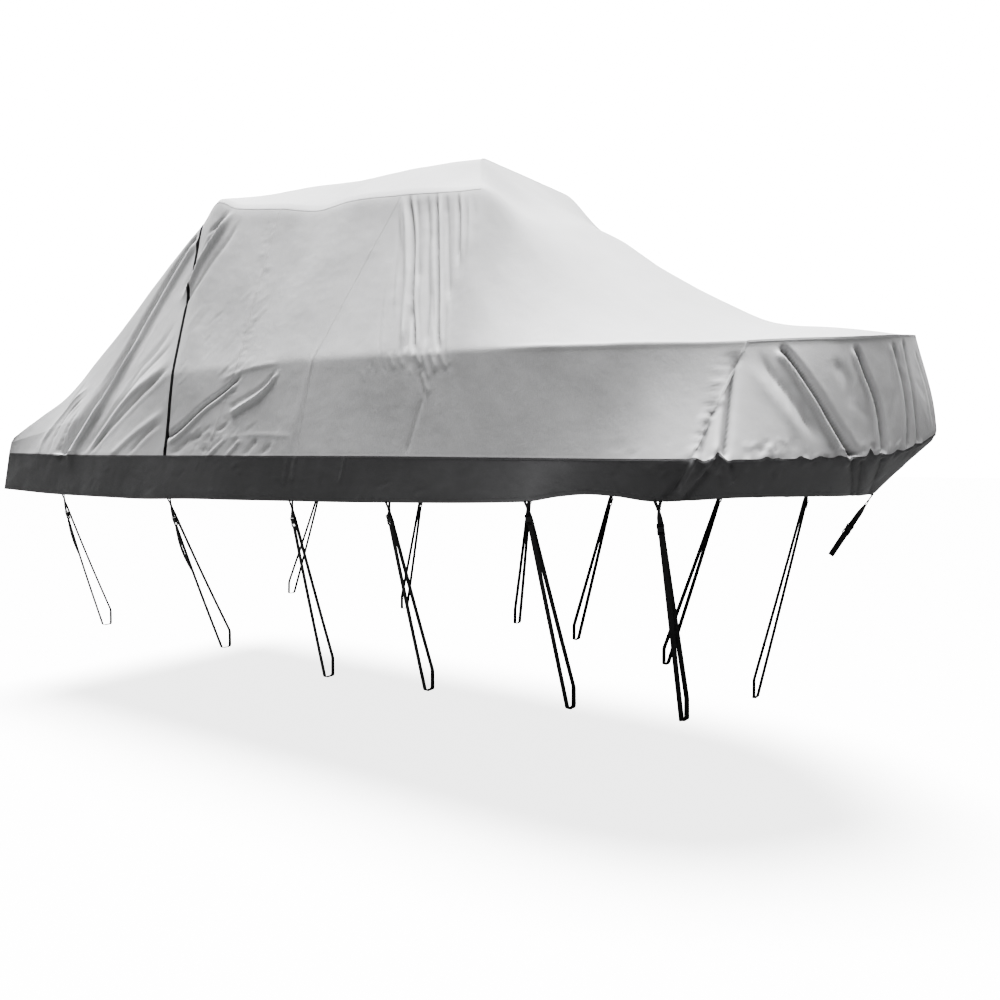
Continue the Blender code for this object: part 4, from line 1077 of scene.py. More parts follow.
def make_seams(sides, materials):
    """Laps of the sewn seams, and two rows of stitches on each."""
    for side in sides.values():
        laps = {"grey_cloth": Gather(), "dark_cloth": Gather()}
        threads = {"grey_cloth": Gather(), "dark_cloth": Gather()}
        for name, *seam in SEAMS:
            run = points, normals, across = seam_run(side, *seam)
            if name == "hem":
                add_stitches(threads["dark_cloth"], *run, -HEM_DEPTH, HEM_STITCH_HEIGHT)
                continue
            finish = "dark_cloth" if name in ("band", "bow_in_band") else "grey_cloth"
            centre = LAP_HALF_WIDTH * LAP_SIDES.get(name, 0.0)
            rings = []
            for share, out in ((-1.0, -LAP_SOLE), (-LAP_TOP_SHARE, LAP_HEIGHT),
                               (LAP_TOP_SHARE, LAP_HEIGHT), (1.0, -LAP_SOLE)):
                rings.append(points + across * (centre + share * LAP_HALF_WIDTH) + normals * out)
            laps[finish].add(*strip_of(rings))
            for offset in (centre - STITCH_FROM_SEAM, centre + STITCH_FROM_SEAM):
                add_stitches(threads[finish], *run, offset, LAP_HEIGHT)
        for finish, gather in laps.items():
            gather.piece(f"seam_lap_{finish}_{side.side}", materials[finish], finish)
        for finish, gather in threads.items():
            gather.piece(f"stitches_{finish}_{side.side}", materials[f"{finish}_thread"], finish)


# Blocks of the zip, with their sizes across it, along it and out, and how far they stand off.
TOOTH_PITCH = 0.0042
TOOTH_SIZE = (0.0048, 0.0022, 0.0024)
TOOTH_ASIDE = 0.001344
TOOTH_OUT = 0.00084
SLIDER_SIZE = (0.011, 0.014, 0.006)
SLIDER_OUT = 0.004
SLIDER_FROM_FOOT = 0.045
PULL_SIZE = (0.007, 0.026, 0.0022)
PULL_OUT = 0.008
PULL_DROP = 0.014


def box(centre, directions, size):
    """Vertices and faces of a block with its three directions given."""
    corners = [(a, b, c) for a in (-0.5, 0.5) for b in (-0.5, 0.5) for c in (-0.5, 0.5)]
    vertices = centre + (np.array(corners) * size) @ np.array(directions)
    faces = [(0, 1, 3, 2), (4, 6, 7, 5), (0, 4, 5, 1), (2, 3, 7, 6), (0, 2, 6, 4), (1, 5, 7, 3)]
    return vertices, outward(vertices, faces)


def make_zip(side, materials):
    """Teeth and slider of the closed zip, on its tape."""
    points, normals, across = seam_run(side, "column", "zip_aft", EDGE, SEAM)
    points = (points + seam_run(side, "column", "zip_forward", EDGE, SEAM)[0]) / 2
    distances = lengths_along(points)
    teeth = Gather()

    def add_block(place, size, offsets):
        """A block at a place on the zip, moved across it, down it and out."""
        out = unit(read_at(normals, distances, place))
        aside = unit(read_at(across, distances, place))
        down = np.cross(out, aside)
        directions = np.array([aside, -down * np.sign(down[2]), out])
        teeth.add(*box(read_at(points, distances, place) + offsets @ directions, directions, size))

    place = TOOTH_PITCH
    turn = 1.0
    while place < distances[-1] - TOOTH_PITCH:
        add_block(place, TOOTH_SIZE, (turn * TOOTH_ASIDE, 0.0, TOOTH_OUT))
        turn = -turn
        place += TOOTH_PITCH / 2
    slider_place = distances[-1] - SLIDER_FROM_FOOT
    add_block(slider_place, SLIDER_SIZE, (0.0, 0.0, SLIDER_OUT))
    add_block(slider_place, PULL_SIZE, (0.0, PULL_DROP, PULL_OUT))
    teeth.piece("zip_teeth_starboard", materials["zip_tape"], "zip_tape")


# ---------------------------------------------------------------- ties
# Where each tie leaves the hem, how far down its buckle starts, and where its loop turned under
# the trailer's beam.
TIES = (
    # name, along, buckle, beam along, beam half, beam height, slack
    ("starboard_1", 0.715, 0.115, 0.700, 0.89, 0.520, 0.006),
    ("starboard_2", 1.900, 0.110, 2.000, 0.88, 0.520, 0.006),
    ("starboard_3", 2.960, 0.085, 3.005, 0.97, 0.500, 0.003),
    ("starboard_4", 3.660, 0.060, 3.593, 0.81, 0.480, 0.003),
    ("starboard_5", 4.475, 0.060, 4.345, 0.60, 0.457, 0.002),
    ("starboard_6", 5.032, 0.105, 4.888, 0.44, 0.450, 0.002),
    ("port_1", 0.715, 0.100, 0.700, 0.89, 0.520, 0.005),
    ("port_2", 1.900, 0.120, 2.000, 0.88, 0.520, 0.003),
    ("port_3", 2.960, 0.070, 3.005, 0.97, 0.500, 0.004),
    ("port_4", 3.660, 0.080, 3.593, 0.81, 0.480, 0.002),
    ("port_5", 4.475, 0.060, 4.345, 0.60, 0.457, 0.003),
    ("port_6", 5.080, 0.090, 4.985, 0.36, 0.410, 0.002),
)
BEAM_WIDTH = 0.060
BEAM_DEPTH = 0.100
# The bow tie goes down to an eye on the stem, its webbing turned by a quarter below the tab.
BOW_BUCKLE = 0.170
BOW_SLACK = 0.004
BOW_TIE_EYE = (5.470, 0.006, 1.250)
BOW_TIE_EYE_WIDTH = 0.012
BOW_TIE_EYE_DEPTH = 0.040
BOW_TIE_TURN = math.radians(90)
BOW_TAB_DROP = 0.0009
# Free ends that hang from the buckles: length, and how far they stand off the loop.
TAILS = {"starboard_1": (0.260, 0.010), "starboard_2": (0.300, 0.018)}
TAIL_STAND_OFF = 0.0035
TAIL_STEPS = 16

WEBBING_WIDTH = 0.025
WEBBING_THICKNESS = 0.0016
# Section of webbing, its corners taken off: side in widths, then out and inset in thicknesses.
WEBBING_SECTION = (
    (-0.5, -0.3, 0.0), (-0.5, -0.5, 0.35), (0.5, -0.5, -0.35), (0.5, -0.3, 0.0),
    (0.5, 0.3, 0.0), (0.5, 0.5, -0.35), (-0.5, 0.5, 0.35), (-0.5, 0.3, 0.0),
)
# The webbing is drawn together where it turns in the tab, over this length from the turn.
GATHERED_WIDTH = 0.011
GATHER_START = 0.010
GATHER_LENGTH = 0.045
TAB_TOP_HALF = 0.020
TAB_FOOT_HALF = 0.010
TAB_LENGTH = 0.042
TAB_THICKNESS = 0.0024
TAB_FOOT_BAR = 0.011
TAB_LEG = 0.014
TAB_LEG_THICKNESS = 0.00192
TAB_LEG_RISE = 0.006
TAB_LEG_BEND = 0.006
TAB_LEG_CROSSING = 0.003
BUCKLE_LENGTH = 0.055
BUCKLE_WIDTH = 0.034
BUCKLE_THICKNESS = 0.012
BUCKLE_STAND_OFF = 0.0105
# Its socket: the right side of its outline below the corner, and a prong's outline below the root,
# both as shares of the buckle's half width and the socket's length.
SOCKET_LENGTH = 0.033
SOCKET_TOP_SHARE = 0.86
SOCKET_CORNER = 0.006
SOCKET_SIDE = ((1.0, 0.42), (0.80, 0.55), (0.80, 0.86), (1.0, 0.94), (1.0, 1.0))
PRONG_ROOT = 0.035
PRONG_ROOT_SHARES = (0.55, 0.40)
PRONG_SIDE = ((0.88, 0.84), (0.98, 0.66), (0.92, 0.50), (0.62, 0.44))
# Its slots and blocks: half width as a share of the buckle's, top, foot and corner radius.
SOCKET_SLOT = (0.76, 0.0045, 0.0085, 0.0015)
SOCKET_CORE = (0.30, 0.0120, 0.0330, 0.0020)
LADDER = (1.00, 0.0336, 0.0550, 0.0030)
LADDER_SLOTS = ((0.78, 0.0390, 0.0425, 0.0012), (0.78, 0.0460, 0.0495, 0.0012))
# Thickness and rounding of the edges of each part.
PLATE = (0.0032, 0.0007)
CORE = (0.01104, 0.0008)
PRONG = (0.00504, 0.0008)
LADDER_PLATE = (0.00744, 0.0009)
BUCKLE_MERGE = 0.00002
BUCKLE_SHARP_ANGLE = math.radians(35)
BUCKLE_APPROACH = 0.005
TURN_RADIUS = 0.012
TURN_LEAST_SHARE = 2.2
TURN_CORNER = 0.001
TAB_CLEARANCE = 0.0006
INNER_RUN_DROP = 0.020
OUTER_RUN_DROP = 0.002
PATH_SPACING = 0.030
TURNED_SPACING = 0.010


class TieFrame:
    """Local axes of a tie: across its webbing, down its outer run, and out from its face."""

    def __init__(self, top, foot, across, turn=0.0):
        self.top = top
        self.down = unit(foot - top)
        level = unit(across - self.down * (across @ self.down))
        self.across = level * math.cos(turn) + np.cross(self.down, level) * math.sin(turn)
        self.out = unit(np.cross(self.down, self.across))

    def at(self, across, down, out):
        return self.top + self.across * across + self.down * down + self.out * out

    def matrix(self):
        columns = [Vector(axis) for axis in (self.across, self.down, self.out)]
        turn = Matrix(columns).transposed().to_4x4()
        return Matrix.Translation(Vector(self.top)) @ turn


def rounded_path(corners, radius, steps=6):
    """Path through corner points, each inner corner replaced by a short curve."""
    path = [corners[0]]
    for before, corner, after in zip(corners, corners[1:], corners[2:]):
        lengths = (np.linalg.norm(before - corner), np.linalg.norm(after - corner))
        reach = min(radius, min(lengths) / TURN_LEAST_SHARE)
        start = corner + unit(before - corner) * reach
        end = corner + unit(after - corner) * reach
        for i in range(steps + 1):
            share = i / steps
            into = start + (corner - start) * share
            out_of = corner + (end - corner) * share
            path.append(into + (out_of - into) * share)
    return path + [corners[-1]]


def filled_path(path, spacing):
    """The same path with more points on its long straight runs."""
    out = [path[0]]
    for start, end in zip(path, path[1:]):
        count = max(1, round(float(np.linalg.norm(end - start)) / spacing))
        out += [start + (end - start) * (i / count) for i in range(1, count + 1)]
    return np.array(out)


def add_webbing(gather, path, widths, across, thickness):
    """Adds a strip along a path; across is one direction, or one a point."""
    path = np.asarray(path)
    widths = np.asarray(widths)[:, None]
    runs = unit(np.gradient(path, axis=0))
    aside = unit(across - runs * np.sum(runs * across, axis=1)[:, None])
    face = np.cross(runs, aside)
    travelled = lengths_along(path)
    rings = []
    spread = []
    for side, out, inset in WEBBING_SECTION:
        rings.append(path + aside * (side * widths + inset * thickness) + face * (out * thickness))
        spread.append(np.column_stack([np.full(len(path), side * WEBBING_WIDTH), travelled]))
    gather.add(*strip_of(rings), np.stack(spread, axis=1).reshape(-1, 2))


def make_cord(name, node, course, material):
    """A piece of webbing, in place of its plain solid."""
    path, widths, across = course
    gather = Gather()
    add_webbing(gather, path, widths, across, WEBBING_THICKNESS)
    piece = gather.piece(name, material, "webbing", node)


def loop_course(frames, buckle_start, beam, slack):
    """Path, widths and directions across of a tie's loop.

    It runs from the buckle's foot round the beam, up to the tab and back to the buckle.
    """
    tab_frame, buckle_frame = frames
    foot = beam[0]
    half_turn = TAB_THICKNESS / 2 + WEBBING_THICKNESS / 2 + TAB_CLEARANCE
    turn_height = TAB_LENGTH - TAB_FOOT_BAR - WEBBING_THICKNESS / 2 - TAB_CLEARANCE
    turn_foot = buckle_start - 2 * BUCKLE_APPROACH
    turned = tab_frame is not buckle_frame
    inner = [tab_frame.at(0.0, TAB_LENGTH + INNER_RUN_DROP, -half_turn)]
    if turned:
        inner.insert(0, buckle_frame.at(0.0, turn_foot, -half_turn))
    start = buckle_frame.at(0.0, buckle_start + BUCKLE_LENGTH, BUCKLE_STAND_OFF)
    lower = rounded_path([start, *beam, inner[0]], TURN_RADIUS)
    round_the_tab = (
        (TAB_LENGTH, -half_turn), (turn_height + TURN_CORNER, -half_turn),
        (turn_height, -half_turn + TURN_CORNER), (turn_height, half_turn - TURN_CORNER),
        (turn_height + TURN_CORNER, half_turn), (TAB_LENGTH + OUTER_RUN_DROP, half_turn + TURN_CORNER),
    )
    upper = [tab_frame.at(0.0, down, out) for down, out in round_the_tab]
    for down in (buckle_start - BUCKLE_APPROACH, buckle_start):
        upper.append(buckle_frame.at(0.0, down, BUCKLE_STAND_OFF))
    path = filled_path(lower + inner[1:] + upper, TURNED_SPACING if turned else PATH_SPACING)
    from_turn = np.linalg.norm(path - tab_frame.at(0.0, turn_height, 0.0), axis=1)
    opened = ease((from_turn - GATHER_START) / GATHER_LENGTH)
    widths = GATHERED_WIDTH + (WEBBING_WIDTH - GATHERED_WIDTH) * opened
    down = (path - tab_frame.top) @ tab_frame.down
    turned_share = np.clip((down - TAB_LENGTH) / (turn_foot - TAB_LENGTH), 0.0, 1.0)[:, None]
    across = unit(tab_frame.across * (1.0 - turned_share) + buckle_frame.across * turned_share)
    share = np.clip((path - foot) @ -tab_frame.down / np.linalg.norm(tab_frame.top - foot), 0.0, 1.0)
    path = path + buckle_frame.out * (slack * np.sin(math.pi * share))[:, None]
    return path, widths, across


def tail_course(frame_of_tie, buckle_start, length, slack):
    """Path, widths and direction across of a free end that hangs in front of the loop."""
    share = np.linspace(0.0, 1.0, TAIL_STEPS + 1)
    start = buckle_start + BUCKLE_LENGTH
    outs = BUCKLE_STAND_OFF + TAIL_STAND_OFF + slack * np.sin(math.pi * share)
    path = np.array([frame_of_tie.at(0.0, start + at * length, out) for at, out in zip(share, outs)])
    return path, np.full(len(path), WEBBING_WIDTH), frame_of_tie.across


def make_tab(name, frame, material):
    """V of webbing sewn under the hem: two legs that meet in a turned foot."""
    gather = Gather()
    foot_down = TAB_LENGTH - TAB_FOOT_BAR / 2
    for sign in (-1.0, 1.0):
        top_across = sign * (TAB_TOP_HALF - TAB_LEG / 2)
        # how far down the tie the hem is, this far across
        hem_down = frame.across[2] * top_across / -frame.down[2]
        corners = [
            frame.at(top_across, hem_down - TAB_LEG_RISE, 0.0),
            frame.at(sign * (TAB_FOOT_HALF - TAB_LEG / 2), foot_down - TAB_LEG_RISE, 0.0),
            frame.at(-sign * TAB_LEG_CROSSING, foot_down, sign * TAB_THICKNESS / 4),
        ]
        path = filled_path(rounded_path(corners, TAB_LEG_BEND, 4), TAB_LEG_BEND)
        add_webbing(gather, path, np.full(len(path), TAB_LEG), frame.across, TAB_LEG_THICKNESS)
    bar = [frame.at(across, foot_down, 0.0) for across in (-TAB_FOOT_HALF, TAB_FOOT_HALF)]
    add_webbing(gather, bar, [TAB_FOOT_BAR, TAB_FOOT_BAR], frame.down, TAB_THICKNESS)
    gather.piece(f"tab_{name}", material, "webbing", f"strap_tab_{name}")


def flat_outline(points, holes, thickness, edge, lift=0.0):
    """Mesh of a flat plate with holes and rounded edges, its outlines given as (across, down)."""
    curve = bpy.data.curves.new("outline", "CURVE")
    curve.dimensions = "2D"
    curve.fill_mode = "BOTH"
    curve.extrude = thickness / 2 - edge
    curve.bevel_depth = edge
    curve.bevel_resolution = 1
    curve.offset = -edge
    for ring in (points, *holes):
        spline = curve.splines.new("POLY")
        spline.points.add(len(ring) - 1)
        for point, (across, down) in zip(spline.points, ring):
            point.co = (across, down, 0.0, 1.0)
        spline.use_cyclic_u = True
    obj = link("outline", curve)
    mesh = bpy.data.meshes.new_from_object(obj.evaluated_get(bpy.context.evaluated_depsgraph_get()))
    bpy.data.objects.remove(obj)
    bpy.data.curves.remove(curve)
    mesh.transform(Matrix.Translation((0.0, 0.0, lift)))
    return mesh


def rounded_rectangle(half, down1, down2, radius, steps=4):
    """Outline of a rectangle with round corners, as wide on both sides of the middle."""
    across, top, foot = half - radius, down1 + radius, down2 - radius
    ring = []
    for x, y, start in ((across, foot, 0.0), (-across, foot, 0.5), (-across, top, 1.0), (across, top, 1.5)):
        for i in range(steps + 1):
            angle = math.pi * (start + 0.5 * i / steps)
            ring.append((x + radius * math.cos(angle), y + radius * math.sin(angle)))
    return ring


def buckle_mesh(name, material):
    """Closed side-release buckle, with the tie's webbing entering at its top and its foot.

    Its local axes are across, down and out, from the middle of its top edge.
    """
    half = BUCKLE_WIDTH / 2
    mesh = bmesh.new()

    def add(outline, holes, plate, lift=0.0):
        part = flat_outline(outline, holes, *plate, lift)
        mesh.from_mesh(part)
        bpy.data.meshes.remove(part)

    def rectangle(share, *rest):
        return rounded_rectangle(half * share, *rest)

    # the socket: two plates joined at the sides, with a bar for the webbing at its top
    right = [(half * SOCKET_TOP_SHARE, 0.0), (half, SOCKET_CORNER)]
    right += [(half * share, SOCKET_LENGTH * down) for share, down in SOCKET_SIDE]
    socket = [(-half * SOCKET_TOP_SHARE, 0.0), *right, *((-across, down) for across, down in right[:0:-1])]
    for sign in (-1.0, 1.0):
        add(socket, [rectangle(*SOCKET_SLOT)], PLATE, sign * (BUCKLE_THICKNESS - PLATE[0]) / 2)
    add(rectangle(*SOCKET_CORE), [], CORE)
    # the tongue: two springy prongs that show in the socket's sides, and a ladder with two slots
    for sign in (-1.0, 1.0):
        outer, inner = ((sign * half * share, PRONG_ROOT) for share in PRONG_ROOT_SHARES)
        prong = [(sign * half * share, SOCKET_LENGTH * down) for share, down in PRONG_SIDE]
        add([outer, *prong, inner], [], PRONG)
    add(rectangle(*LADDER), [rectangle(*slot) for slot in LADDER_SLOTS], LADDER_PLATE)
    bmesh.ops.remove_doubles(mesh, verts=mesh.verts[:], dist=BUCKLE_MERGE)
    bmesh.ops.recalc_face_normals(mesh, faces=mesh.faces[:])
    data = bpy.data.meshes.new(name)
    mesh.to_mesh(data)
    mesh.free()
    data.materials.clear()
    data.materials.append(material)
    data.shade_smooth()
    data.set_sharp_from_angle(angle=BUCKLE_SHARP_ANGLE)
    return data


def hem_edge(side, along):
    """Point of the hem, as low as it gets across the width of a tab, and the hem's level direction."""
    hem = to_model(side.points[:, -1], side.side)
    middle = along - ORIGIN_ALONG
    aft, found, forward = read_at(hem, hem[:, 0], middle + TAB_TOP_HALF * np.array([-1.0, 0.0, 1.0]))
    found[2] = min(found[2], hem[np.abs(hem[:, 0] - middle) < TAB_TOP_HALF, 2].min())
    run = forward - aft
    run[2] = 0.0
    return found, unit(run)


def make_tie(name, frames, buckle_start, beam, slack, materials):
    """Tab, buckle and loop of one tie; beam holds the loop's foot, inner foot and inner top."""
    tab_frame, buckle_frame = frames
    webbing = materials["webbing"]
    make_tab(name, tab_frame, webbing)
    mesh = buckle_mesh(f"buckle_{name}", materials["buckle_plastic"])
    mesh.transform(buckle_frame.matrix() @ Matrix.Translation((0.0, buckle_start, BUCKLE_STAND_OFF)))
    buckle = placed(f"buckle_{name}", mesh, "buckle_plastic", f"strap_buckle_{name}")
    course = loop_course(frames, buckle_start, beam, slack)
    make_cord(f"webbing_{name}", f"strap_loop_{name}", course, webbing)
    if name in TAILS:
        course = tail_course(buckle_frame, buckle_start, *TAILS[name])
        make_cord(f"free_end_{name}", f"strap_tail_{name}", course, webbing)


def make_side_ties(sides, materials):
    """The ties of both sides, each round its own stretch of the beam."""
    for name, along, buckle_start, *beam_place, slack in TIES:
        side = name.split("_")[0]
        top, run = hem_edge(sides[side], along)
        foot = to_model(beam_place, side)
        inner_foot = foot - (0.0, sign_of(side) * BEAM_WIDTH, 0.0)
        beam = (foot, inner_foot, inner_foot + (0.0, 0.0, BEAM_DEPTH))
        frame_of_tie = TieFrame(top, foot, -sign_of(side) * run)
        make_tie(name, (frame_of_tie, frame_of_tie), buckle_start, beam, slack, materials)


def make_bow_tie(side, materials):
    """The tie at the tip, its webbing turned by a quarter between the tab and the buckle."""
    top = to_model(side.points[-1, -1], "starboard") - (0.0, 0.0, BOW_TAB_DROP)
    foot = to_model(BOW_TIE_EYE, "starboard")
    inner_foot = foot + (0.0, BOW_TIE_EYE_WIDTH, 0.0)
    beam = (foot, inner_foot, inner_foot + unit(top - foot) * BOW_TIE_EYE_DEPTH)
    across = np.array([0.0, 1.0, 0.0])
    frames = [TieFrame(top, foot, across, turn) for turn in (0.0, BOW_TIE_TURN)]
    make_tie("bow", frames, BOW_BUCKLE, beam, BOW_SLACK, materials)


# ---------------------------------------------------------------- materials
SHEEN_ROUGHNESS = 0.5
# The canvas: pitch and height of its weave, height of its wrinkles, and the roll of cloth that
# starts this far from a seam and is full this near, with the shade beside it.
WEAVE_PITCH = 0.0011
WEAVE_HEIGHT = 0.00006
WRINKLE = 0.0016
SEAM_ROLL = (0.010, 0.004)
SEAM_ROLL_HEIGHT = 0.0003
SEAM_SHADE = 0.01
SEAM_SHADE_REACH = 0.018
# The webbing's ribs across it and cords along it.
RIB_LENGTH = 0.0022
CORD_LENGTH = 0.0036


class Nodes:
    """A node tree with a few shorthands."""

    def __init__(self, tree):
        self.tree = tree

    def node(self, kind, inputs=None, **settings):
        """A new node with its settings; its inputs are values or other nodes' outputs."""
        made = self.tree.nodes.new(kind)
        for name, value in settings.items():
            setattr(made, name, value)
        for key, value in (inputs or {}).items():
            self.feed(value, made.inputs[key])
        return made

    def feed(self, value, socket):
        if isinstance(value, bpy.types.NodeSocket):
            self.tree.links.new(value, socket)
        else:
            socket.default_value = value

    def between(self, share, low, high):
        """Value that goes from low to high as the share goes from 0 to 1."""
        made = self.node("ShaderNodeMapRange", {"Value": share, "To Min": low, "To Max": high})
        return made.outputs["Result"]

    def seen(self):
        """1 for what the camera looks at straight, 0 for the light that surfaces get."""
        return self.node("ShaderNodeLightPath").outputs["Is Camera Ray"]


class Finish(Nodes):
    """Material of one kind of surface, with the node shorthands that the finishes share."""

    def __init__(self, name, roughness, sheen=0.0):
        self.material = bpy.data.materials.new(name)
        self.material.use_nodes = True
        super().__init__(self.material.node_tree)
        self.shader = self.tree.nodes["Principled BSDF"]
        self.shader.inputs["Roughness"].default_value = roughness
        self.shader.inputs["Sheen Weight"].default_value = sheen
        self.shader.inputs["Sheen Roughness"].default_value = SHEEN_ROUGHNESS

    def math(self, operation, *values):
        made = self.node("ShaderNodeMath", dict(enumerate(values)), operation=operation)
        return made.outputs[0]

    def attribute(self, name, output="Fac"):
        return self.node("ShaderNodeAttribute", attribute_name=name).outputs[output]

    def spread(self, across, down):
        """Place on the cloth, in metres, with each direction scaled."""
        inputs = {0: self.attribute("spread", "Vector"), 1: (across, down, 1.0)}
        return self.node("ShaderNodeVectorMath", inputs, operation="MULTIPLY").outputs[0]

    def place(self):
        """Place in the model, in metres."""
        return self.node("ShaderNodeTexCoord").outputs["Object"]

    def noise(self, vector, scale, detail, roughness):
        """Noise around zero, from about -0.5 to 0.5."""
        inputs = {"Vector": vector, "Scale": scale, "Detail": detail, "Roughness": roughness}
        return self.math("SUBTRACT", self.node("ShaderNodeTexNoise", inputs).outputs["Fac"], 0.5)

    def rise(self, value, low, high):
        """Smooth step from 0 at low to 1 at high."""
        inputs = {"Value": value, "From Min": low, "From Max": high}
        made = self.node("ShaderNodeMapRange", inputs, interpolation_type="SMOOTHSTEP")
        return made.outputs["Result"]

    def total(self, *terms):
        """Sum of (value, weight) pairs."""
        result = 0.0
        for value, weight in terms:
            result = self.math("MULTIPLY_ADD", value, weight, result)
        return result

    def colour(self, colour, *terms):
        """Base colour, lightened or darkened by 1 and the sum of (value, weight) pairs."""
        inputs = {0: colour, "Scale": self.total((1.0, 1.0), *terms)}
        made = self.node("ShaderNodeVectorMath", inputs, operation="SCALE")
        self.feed(made.outputs[0], self.shader.inputs["Base Color"])

    def bump(self, *terms):
        """Relief: the sum of (value, height in metres) pairs."""
        inputs = {"Distance": 1.0, "Strength": 1.0, "Height": self.total(*terms)}
        self.feed(self.node("ShaderNodeBump", inputs).outputs[0], self.shader.inputs["Normal"])

    def roughness(self, *terms):
        """Roughness as the sum of (value, weight) pairs."""
        self.feed(self.total(*terms), self.shader.inputs["Roughness"])

    def ribs(self, axis, length):
        """Ribs from -1 to 1 along an axis of the cloth, one wave over this length."""
        parts = self.node("ShaderNodeSeparateXYZ", {0: self.attribute("spread", "Vector")})
        return self.math("SINE", self.math("MULTIPLY", parts.outputs[axis], 2 * math.pi / length))

    def weave(self, pitch):
        """Over and under of a plain weave, from -1 to 1."""
        return self.math("MULTIPLY", self.ribs("X", 2 * pitch), self.ribs("Y", 2 * pitch))


def cloth_finish(name, colour, mottle, fleck, painted_fold_shade, roughness, sheen):
    """Coated canvas: plain weave, uneven tone, fine creasing, painted shade in the folds with a painted
    highlight on their crests, and raised seams.
    """
    finish = Finish(name, roughness, sheen)
    place = finish.place()
    cloud = finish.noise(place, scale=1.3, detail=3.0, roughness=0.55)
    patch = finish.noise(place, scale=7.0, detail=4.0, roughness=0.60)
    streak = finish.noise(finish.spread(across=9.0, down=0.9), scale=1.0, detail=3.0, roughness=0.60)
    grain = finish.noise(finish.spread(across=420.0, down=160.0), scale=1.0, detail=2.0, roughness=0.60)
    seam = finish.attribute("seam_distance")
    finish.colour(
        colour, (cloud, mottle), (patch, mottle * 0.55), (streak, mottle * 0.5), (grain, fleck),
        (finish.rise(seam, 0.0, SEAM_SHADE_REACH), SEAM_SHADE), (1.0, -SEAM_SHADE),
        # painted shade in the fold hollows and painted highlight on the crests
        (finish.attribute("hollow"), -painted_fold_shade),
    )
    crumple = finish.noise(place, scale=16.0, detail=5.0, roughness=0.55)
    fine = finish.noise(place, scale=70.0, detail=3.0, roughness=0.55)
    finish.bump(
        (finish.weave(WEAVE_PITCH), WEAVE_HEIGHT), (crumple, WRINKLE), (fine, WRINKLE * 0.16),
        (finish.rise(seam, *SEAM_ROLL), SEAM_ROLL_HEIGHT),
    )
    finish.roughness((1.0, roughness), (patch, 0.12), (grain, 0.08))
    return finish.material


def webbing_finish():
    """Woven polypropylene webbing: close ribs across it and a few dusty flecks."""
    finish = Finish("webbing_black", roughness=0.62, sheen=0.2)
    ribs = finish.ribs("Y", RIB_LENGTH)
    cords = finish.ribs("X", CORD_LENGTH)
    dust = finish.noise(finish.place(), scale=40.0, detail=4.0, roughness=0.65)
    finish.colour((0.014, 0.014, 0.015), (ribs, 0.12), (cords, 0.10), (dust, 0.9))
    finish.bump((ribs, 0.00012), (cords, 0.00010), (dust, 0.0002))
    return finish.material


def plastic_finish():
    """Moulded acetal, finely spark-eroded, rubbed brighter in patches."""
    finish = Finish("buckle_black", roughness=0.38)
    grain = finish.noise(finish.place(), scale=900.0, detail=2.0, roughness=0.5)
    rub = finish.noise(finish.place(), scale=60.0, detail=3.0, roughness=0.6)
    finish.colour((0.012, 0.012, 0.013), (rub, 0.8))
    finish.bump((grain, 0.00005))
    finish.roughness((1.0, 0.38), (rub, 0.25))
    return finish.material


def zip_finish():
    """Black zip: tape and coil."""
    finish = Finish("zip_black", roughness=0.5, sheen=0.1)
    grain = finish.noise(finish.place(), scale=700.0, detail=2.0, roughness=0.5)
    rub = finish.noise(finish.place(), scale=30.0, detail=3.0, roughness=0.6)
    finish.colour((0.010, 0.010, 0.011), (rub, 0.6), (grain, 0.3))
    finish.bump((grain, 0.0001))
    return finish.material


def thread_finish(name, colour):
    """Twisted polyester thread."""
    finish = Finish(name, roughness=0.6, sheen=0.2)
    twist = finish.noise(finish.place(), scale=1500.0, detail=1.0, roughness=0.5)
    finish.colour(colour, (twist, 0.5))
    finish.bump((twist, 0.0001))
    return finish.material


def make_materials():
    """Every finish, by its material slot; a thread's has its own name."""
    return {
        # Each cloth's fold shade is painted shade in the fold hollows and a painted highlight on their
        # crests.
        "grey_cloth": cloth_finish(
            "canvas_grey", (0.55, 0.55, 0.555), mottle=0.10, fleck=0.05, painted_fold_shade=0.16, roughness=0.78,
            sheen=0.15,
        ),
        "dark_cloth": cloth_finish(
            "canvas_charcoal", (0.125, 0.125, 0.128), mottle=0.22, fleck=0.22, painted_fold_shade=0.20, roughness=0.80,
            sheen=0.25,
        ),
        "grey_cloth_thread": thread_finish("thread_grey", (0.52, 0.52, 0.525)),
        "dark_cloth_thread": thread_finish("thread_charcoal", (0.09, 0.09, 0.092)),
        "webbing": webbing_finish(),
        "buckle_plastic": plastic_finish(),
        "zip_tape": zip_finish(),
    }


# ---------------------------------------------------------------- stage, light and camera
FLOOR_HEIGHT = -ORIGIN_HEIGHT
FLOOR_RADIUS = 60.0
FLOOR_SIDES = 96
FLOOR_TONE = 0.85
FLOOR_BOUNCE = 0.17
FLOOR_GLOW = 1.6
FLOOR_ROUGHNESS = 0.9
BACKDROP_TONE = 5.0
SKY_STRENGTH = 0.20
SKY_LOW = 0.02
WHITE = (1.0, 1.0, 1.0, 1.0)
KEY_STRENGTH = 9.7
KEY_SPREAD = 32.0
KEY_TILT_TO_PORT = 3.0
KEY_TILT_TO_STERN = 4.0

CAMERA_ALONG = 6.66075
CAMERA_OUT = 4.50
CAMERA_HEIGHT = 1.76
CAMERA_AZIMUTH = 35.0
FOCAL_LENGTH = 32.4
SENSOR_WIDTH = 36.0
FRAME_PIXELS = 1000.0
HORIZON_PIXEL = 450.0


